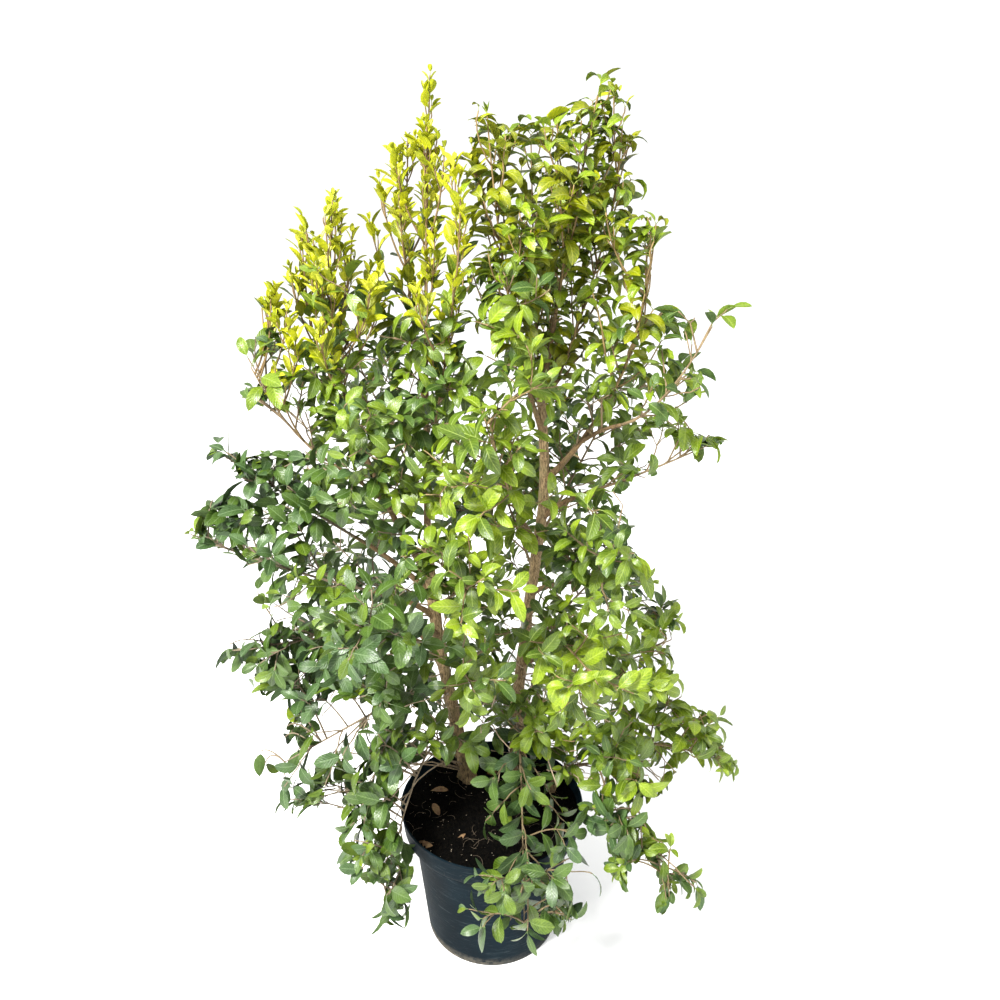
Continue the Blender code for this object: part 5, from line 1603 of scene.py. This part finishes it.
def dress_soil_litter():
    """Crumbs, pale specks, fibres, fallen leaves and a cut stub on the soil."""
    rng = np.random.default_rng(FIRST_SEED * 5)
    scatter_lumps("crumbs", on_soil(rng, CRUMBS), rng.uniform(*CRUMB_SIZES, CRUMBS), rng,
                  soil_finish("crumb", tone(3, 3, 2), tone(22, 18, 14)))
    scatter_lumps("specks", on_soil(rng, SPECKS), rng.uniform(*SPECK_SIZES, SPECKS), rng,
                  dry_finish("speck", tone(176, 168, 148)))
    places = on_soil(rng, FIBRES, 0.02)
    headings = unit(np.column_stack((rng.normal(size=(FIBRES, 2)), rng.uniform(-0.02, 0.12, FIBRES))))
    bends = unit(np.cross(headings, UP)) * rng.choice((-1, 1), FIBRES)[:, None]
    lengths = rng.uniform(*FIBRE_LENGTHS, FIBRES)[:, None]
    places = places + UP * FIBRE_LIFT
    fibres = bezier(places, places + headings * lengths * 0.6 + bends * lengths * 0.5 + UP * FIBRE_ARCH,
                    places + headings * lengths, TWIG_RINGS)
    make_tubes("fibres", fibres, np.tile(np.linspace(*FIBRE_RADII, TWIG_RINGS), (FIBRES, 1)), TWIG_SIDES,
               twig_finish("fibre", tone(88, 78, 62)))
    places = np.vstack((on_soil(rng, LITTER_LEAVES, 0.03, 0.125), FALLEN_LEAVES)) + UP * LITTER_LIFT
    count = len(places)
    headings = unit(np.column_stack((rng.normal(size=(count, 2)), rng.uniform(0.0, 0.3, count))))
    facing = square_to(headings, unit(rng.normal(0, 0.5, (count, 3)) + UP))
    dead = Leaves(places, headings, facing, rng.uniform(0.020, 0.040, count), rng.uniform(0.007, 0.013, count),
                  np.full(count, 0.3), rng.uniform(10, 40, count), rng.uniform(40, 120, count),
                  rng.normal(0, 25, count), np.full(count, "pale_flush"))
    make_blades("fallen_leaves", dead, [dry_finish("dry_leaf", tone(134, 108, 74))] * (2 * len(SHADES)))
    rings = barked(np.linspace(*CUT_STUB, CUT_STUB_PLACES), np.full(CUT_STUB_PLACES, CUT_STUB_RADIUS), CUT_BARK,
                   CUT_SEED, round_tip=False)
    make_turned("cut_stub", rings, bark_finish("stub_bark", tone(150, 112, 74), tone(84, 56, 34),
                                               tone(120, 96, 66), 0.0018))


STUB_RINGS = 4
STUB_SIDES = 7
STUBS_ON_THICK = 5
STUBS_ON_THIN = 2
THICK_FROM = 0.009
STUB_SHARES = (0.08, 0.92)
STUB_LENGTHS = (0.004, 0.014)
STUB_LEANS = (0.3, 0.9)
STUB_RADII = (0.0022, 0.0011)
STUB_ROOT = 0.5


def dress_stubs(finish):
    """Short dead stubs and buds that stand out from the trunks and boughs."""
    rng = np.random.default_rng(FIRST_SEED * 6)
    routes, radii = [], []
    for limb in limbs.values():
        count = STUBS_ON_THICK if limb.radii[0] > THICK_FROM else STUBS_ON_THIN
        for place in rng.uniform(*STUB_SHARES, count) * (len(limb.route) - 1):
            index = int(place)
            step = limb.route[index + 1] - limb.route[index]
            start = limb.route[index] + step * (place - index)
            onward = unit(step)
            radius = limb.radius_at(place)
            out = unit(np.cross(onward, rng.normal(size=3)))
            heading = unit(out + onward * rng.uniform(*STUB_LEANS))
            length = radius + rng.uniform(*STUB_LENGTHS)
            routes.append(start + np.outer(np.linspace(radius * STUB_ROOT, length, STUB_RINGS), heading))
            radii.append(np.linspace(min(STUB_RADII[0], radius * STUB_ROOT), STUB_RADII[1], STUB_RINGS))
    make_tubes("stubs", np.array(routes), np.array(radii), STUB_SIDES, finish)


def rings_of(profile, sides):
    angles = turns_of(sides)
    circle = np.column_stack((np.cos(angles), np.sin(angles)))
    return np.array([np.column_stack((circle * radius, np.full(sides, height))) for radius, height in profile])


def arc(across, up, radius, angles):
    """Places of a profile round a centre, at angles in degrees."""
    return [(across + radius * math.cos(angle), up + radius * math.sin(angle)) for angle in np.radians(angles)]


def dress_soil():
    edge = RIM_RADIUS - POT_WALL - SOIL_CLEARANCE
    surface = [(radius, 0.0) for radius in np.linspace(edge, SOIL_MIDDLE, SOIL_RINGS)]
    rings = rings_of([(edge - 0.012, SOIL_TOP - 0.030)] + surface, SOIL_SIDES)
    for ring in rings[1:]:
        ring[:, 2] = [crumbly(x, y) for x, y, _ in ring]
    soil = make_turned("potting_mix", rings, soil_finish("potting_mix", tone(1, 1, 1), tone(13, 11, 8)))
    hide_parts("soil")


def dress_pot():
    """The turned pot: a rolled rim, a stepped collar, a tapered wall and a rounded foot."""
    lip = POT_WALL / 2
    foot = [(AXIS_GAP, 0.0), (BASE_RADIUS * 0.5, 0.0), (BASE_RADIUS - POT_CORNER - 0.001, 0.0),
            *arc(BASE_RADIUS - POT_CORNER, POT_CORNER, POT_CORNER, np.linspace(-90, 0, 6))]
    wall = [(BASE_RADIUS + (WALL_TOP_RADIUS - BASE_RADIUS) * share, POT_CORNER + (COLLAR_FOOT - POT_CORNER) * share)
            for share in np.linspace(0.05, 0.97, 16)]
    step = [(WALL_TOP_RADIUS + 0.0006, COLLAR_FOOT - 0.0018), (WALL_TOP_RADIUS + 0.0035, COLLAR_FOOT - 0.0004),
            (COLLAR_FOOT_RADIUS - 0.0030, COLLAR_FOOT), (COLLAR_FOOT_RADIUS - 0.0008, COLLAR_FOOT + 0.0006),
            (COLLAR_FOOT_RADIUS, COLLAR_FOOT + 0.0022)]
    collar = [(COLLAR_FOOT_RADIUS + (RIM_RADIUS - 0.0006 - COLLAR_FOOT_RADIUS) * share,
               COLLAR_FOOT + COLLAR_HEIGHT * share) for share in np.linspace(0.2, 0.86, 6)]
    rim = arc(RIM_RADIUS - lip, POT_HEIGHT - lip, lip, np.linspace(-20, 180, 9))
    inner = [(RIM_RADIUS - POT_WALL - 0.0008, POT_HEIGHT - 0.012),
             (COLLAR_FOOT_RADIUS - POT_WALL, COLLAR_FOOT + 0.0045),
             (WALL_TOP_RADIUS - POT_WALL, COLLAR_FOOT - POT_CORNER), (BASE_RADIUS - POT_WALL, POT_WALL),
             (AXIS_GAP, POT_WALL)]
    rings = rings_of(foot + wall + step + collar + rim + inner, POT_SIDES)
    pot = make_turned("pot_shell", rings, pot_finish())
    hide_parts("pot")


def lamp(name, place, target, width, power, colour):
    light = bpy.data.lights.new(name, "AREA")
    light.shape = "DISK"
    light.size = width
    light.energy = power
    light.color = colour
    holder = placed(name, light)
    holder.location = place
    holder.rotation_euler = (Vector(target) - Vector(place)).to_track_quat("-Z", "Y").to_euler()


def set_stage():
    """A pale floor, soft white light all round and one broad lamp above the left shoulder."""
    world = bpy.data.worlds.new("studio")
    world.use_nodes = True
    background = world.node_tree.nodes["Background"].inputs
    background["Color"].default_value = (1.0, 1.0, 1.0, 1.0)
    background["Strength"].default_value = STUDIO_LIGHT
    bpy.context.scene.world = world
    lamp("key", (-1.6, -1.9, 3.2), LIT_PLACE, 0.9, 380, (1.0, 0.985, 0.95))
    lamp("fill", (2.2, -1.6, 1.6), LIT_PLACE, 2.0, 45, (0.97, 0.98, 1.0))
    mesh = bpy.data.meshes.new("floor")
    corners = [(x * FLOOR_HALF, y * FLOOR_HALF, 0) for x, y in ((-1, -1), (1, -1), (1, 1), (-1, 1))]
    mesh.from_pydata(corners, [], [(0, 1, 2, 3)])
    floor = placed("floor", mesh)
    paint = Finish("floor_paint")
    paint.set(base_color=(0.95, 0.95, 0.95), roughness=0.9)
    mesh.materials.append(paint.material)


def set_camera():
    camera = bpy.data.cameras.new("camera")
    camera.sensor_width = SENSOR
    camera.lens = SENSOR * CAMERA_FOCAL_SHARE
    camera.clip_start = 0.05
    holder = placed("camera", camera)
    holder.location = CAMERA_PLACE
    holder.rotation_euler = (math.radians(90 - CAMERA_TILT), 0, 0)
    bpy.context.scene.camera = holder


set_camera()
set_stage()
bpy.context.scene.view_settings.view_transform = "Standard"
bark = bark_finish("bark", tone(164, 140, 102), tone(72, 58, 38), tone(114, 110, 72), 0.0022)
young_bark = bark_finish("young_bark", tone(132, 108, 74), tone(70, 52, 34), tone(98, 94, 60), 0.0014)
for number, trunk in enumerate(TRUNKS):
    dress_trunk(number, trunk, bark)
for number, bough in enumerate(BOUGHS):
    dress_bough(number, bough, young_bark)
dress_foliage()
dress_bare_twigs()
dress_soil()
dress_soil_litter()
dress_stubs(bark)
dress_pot()
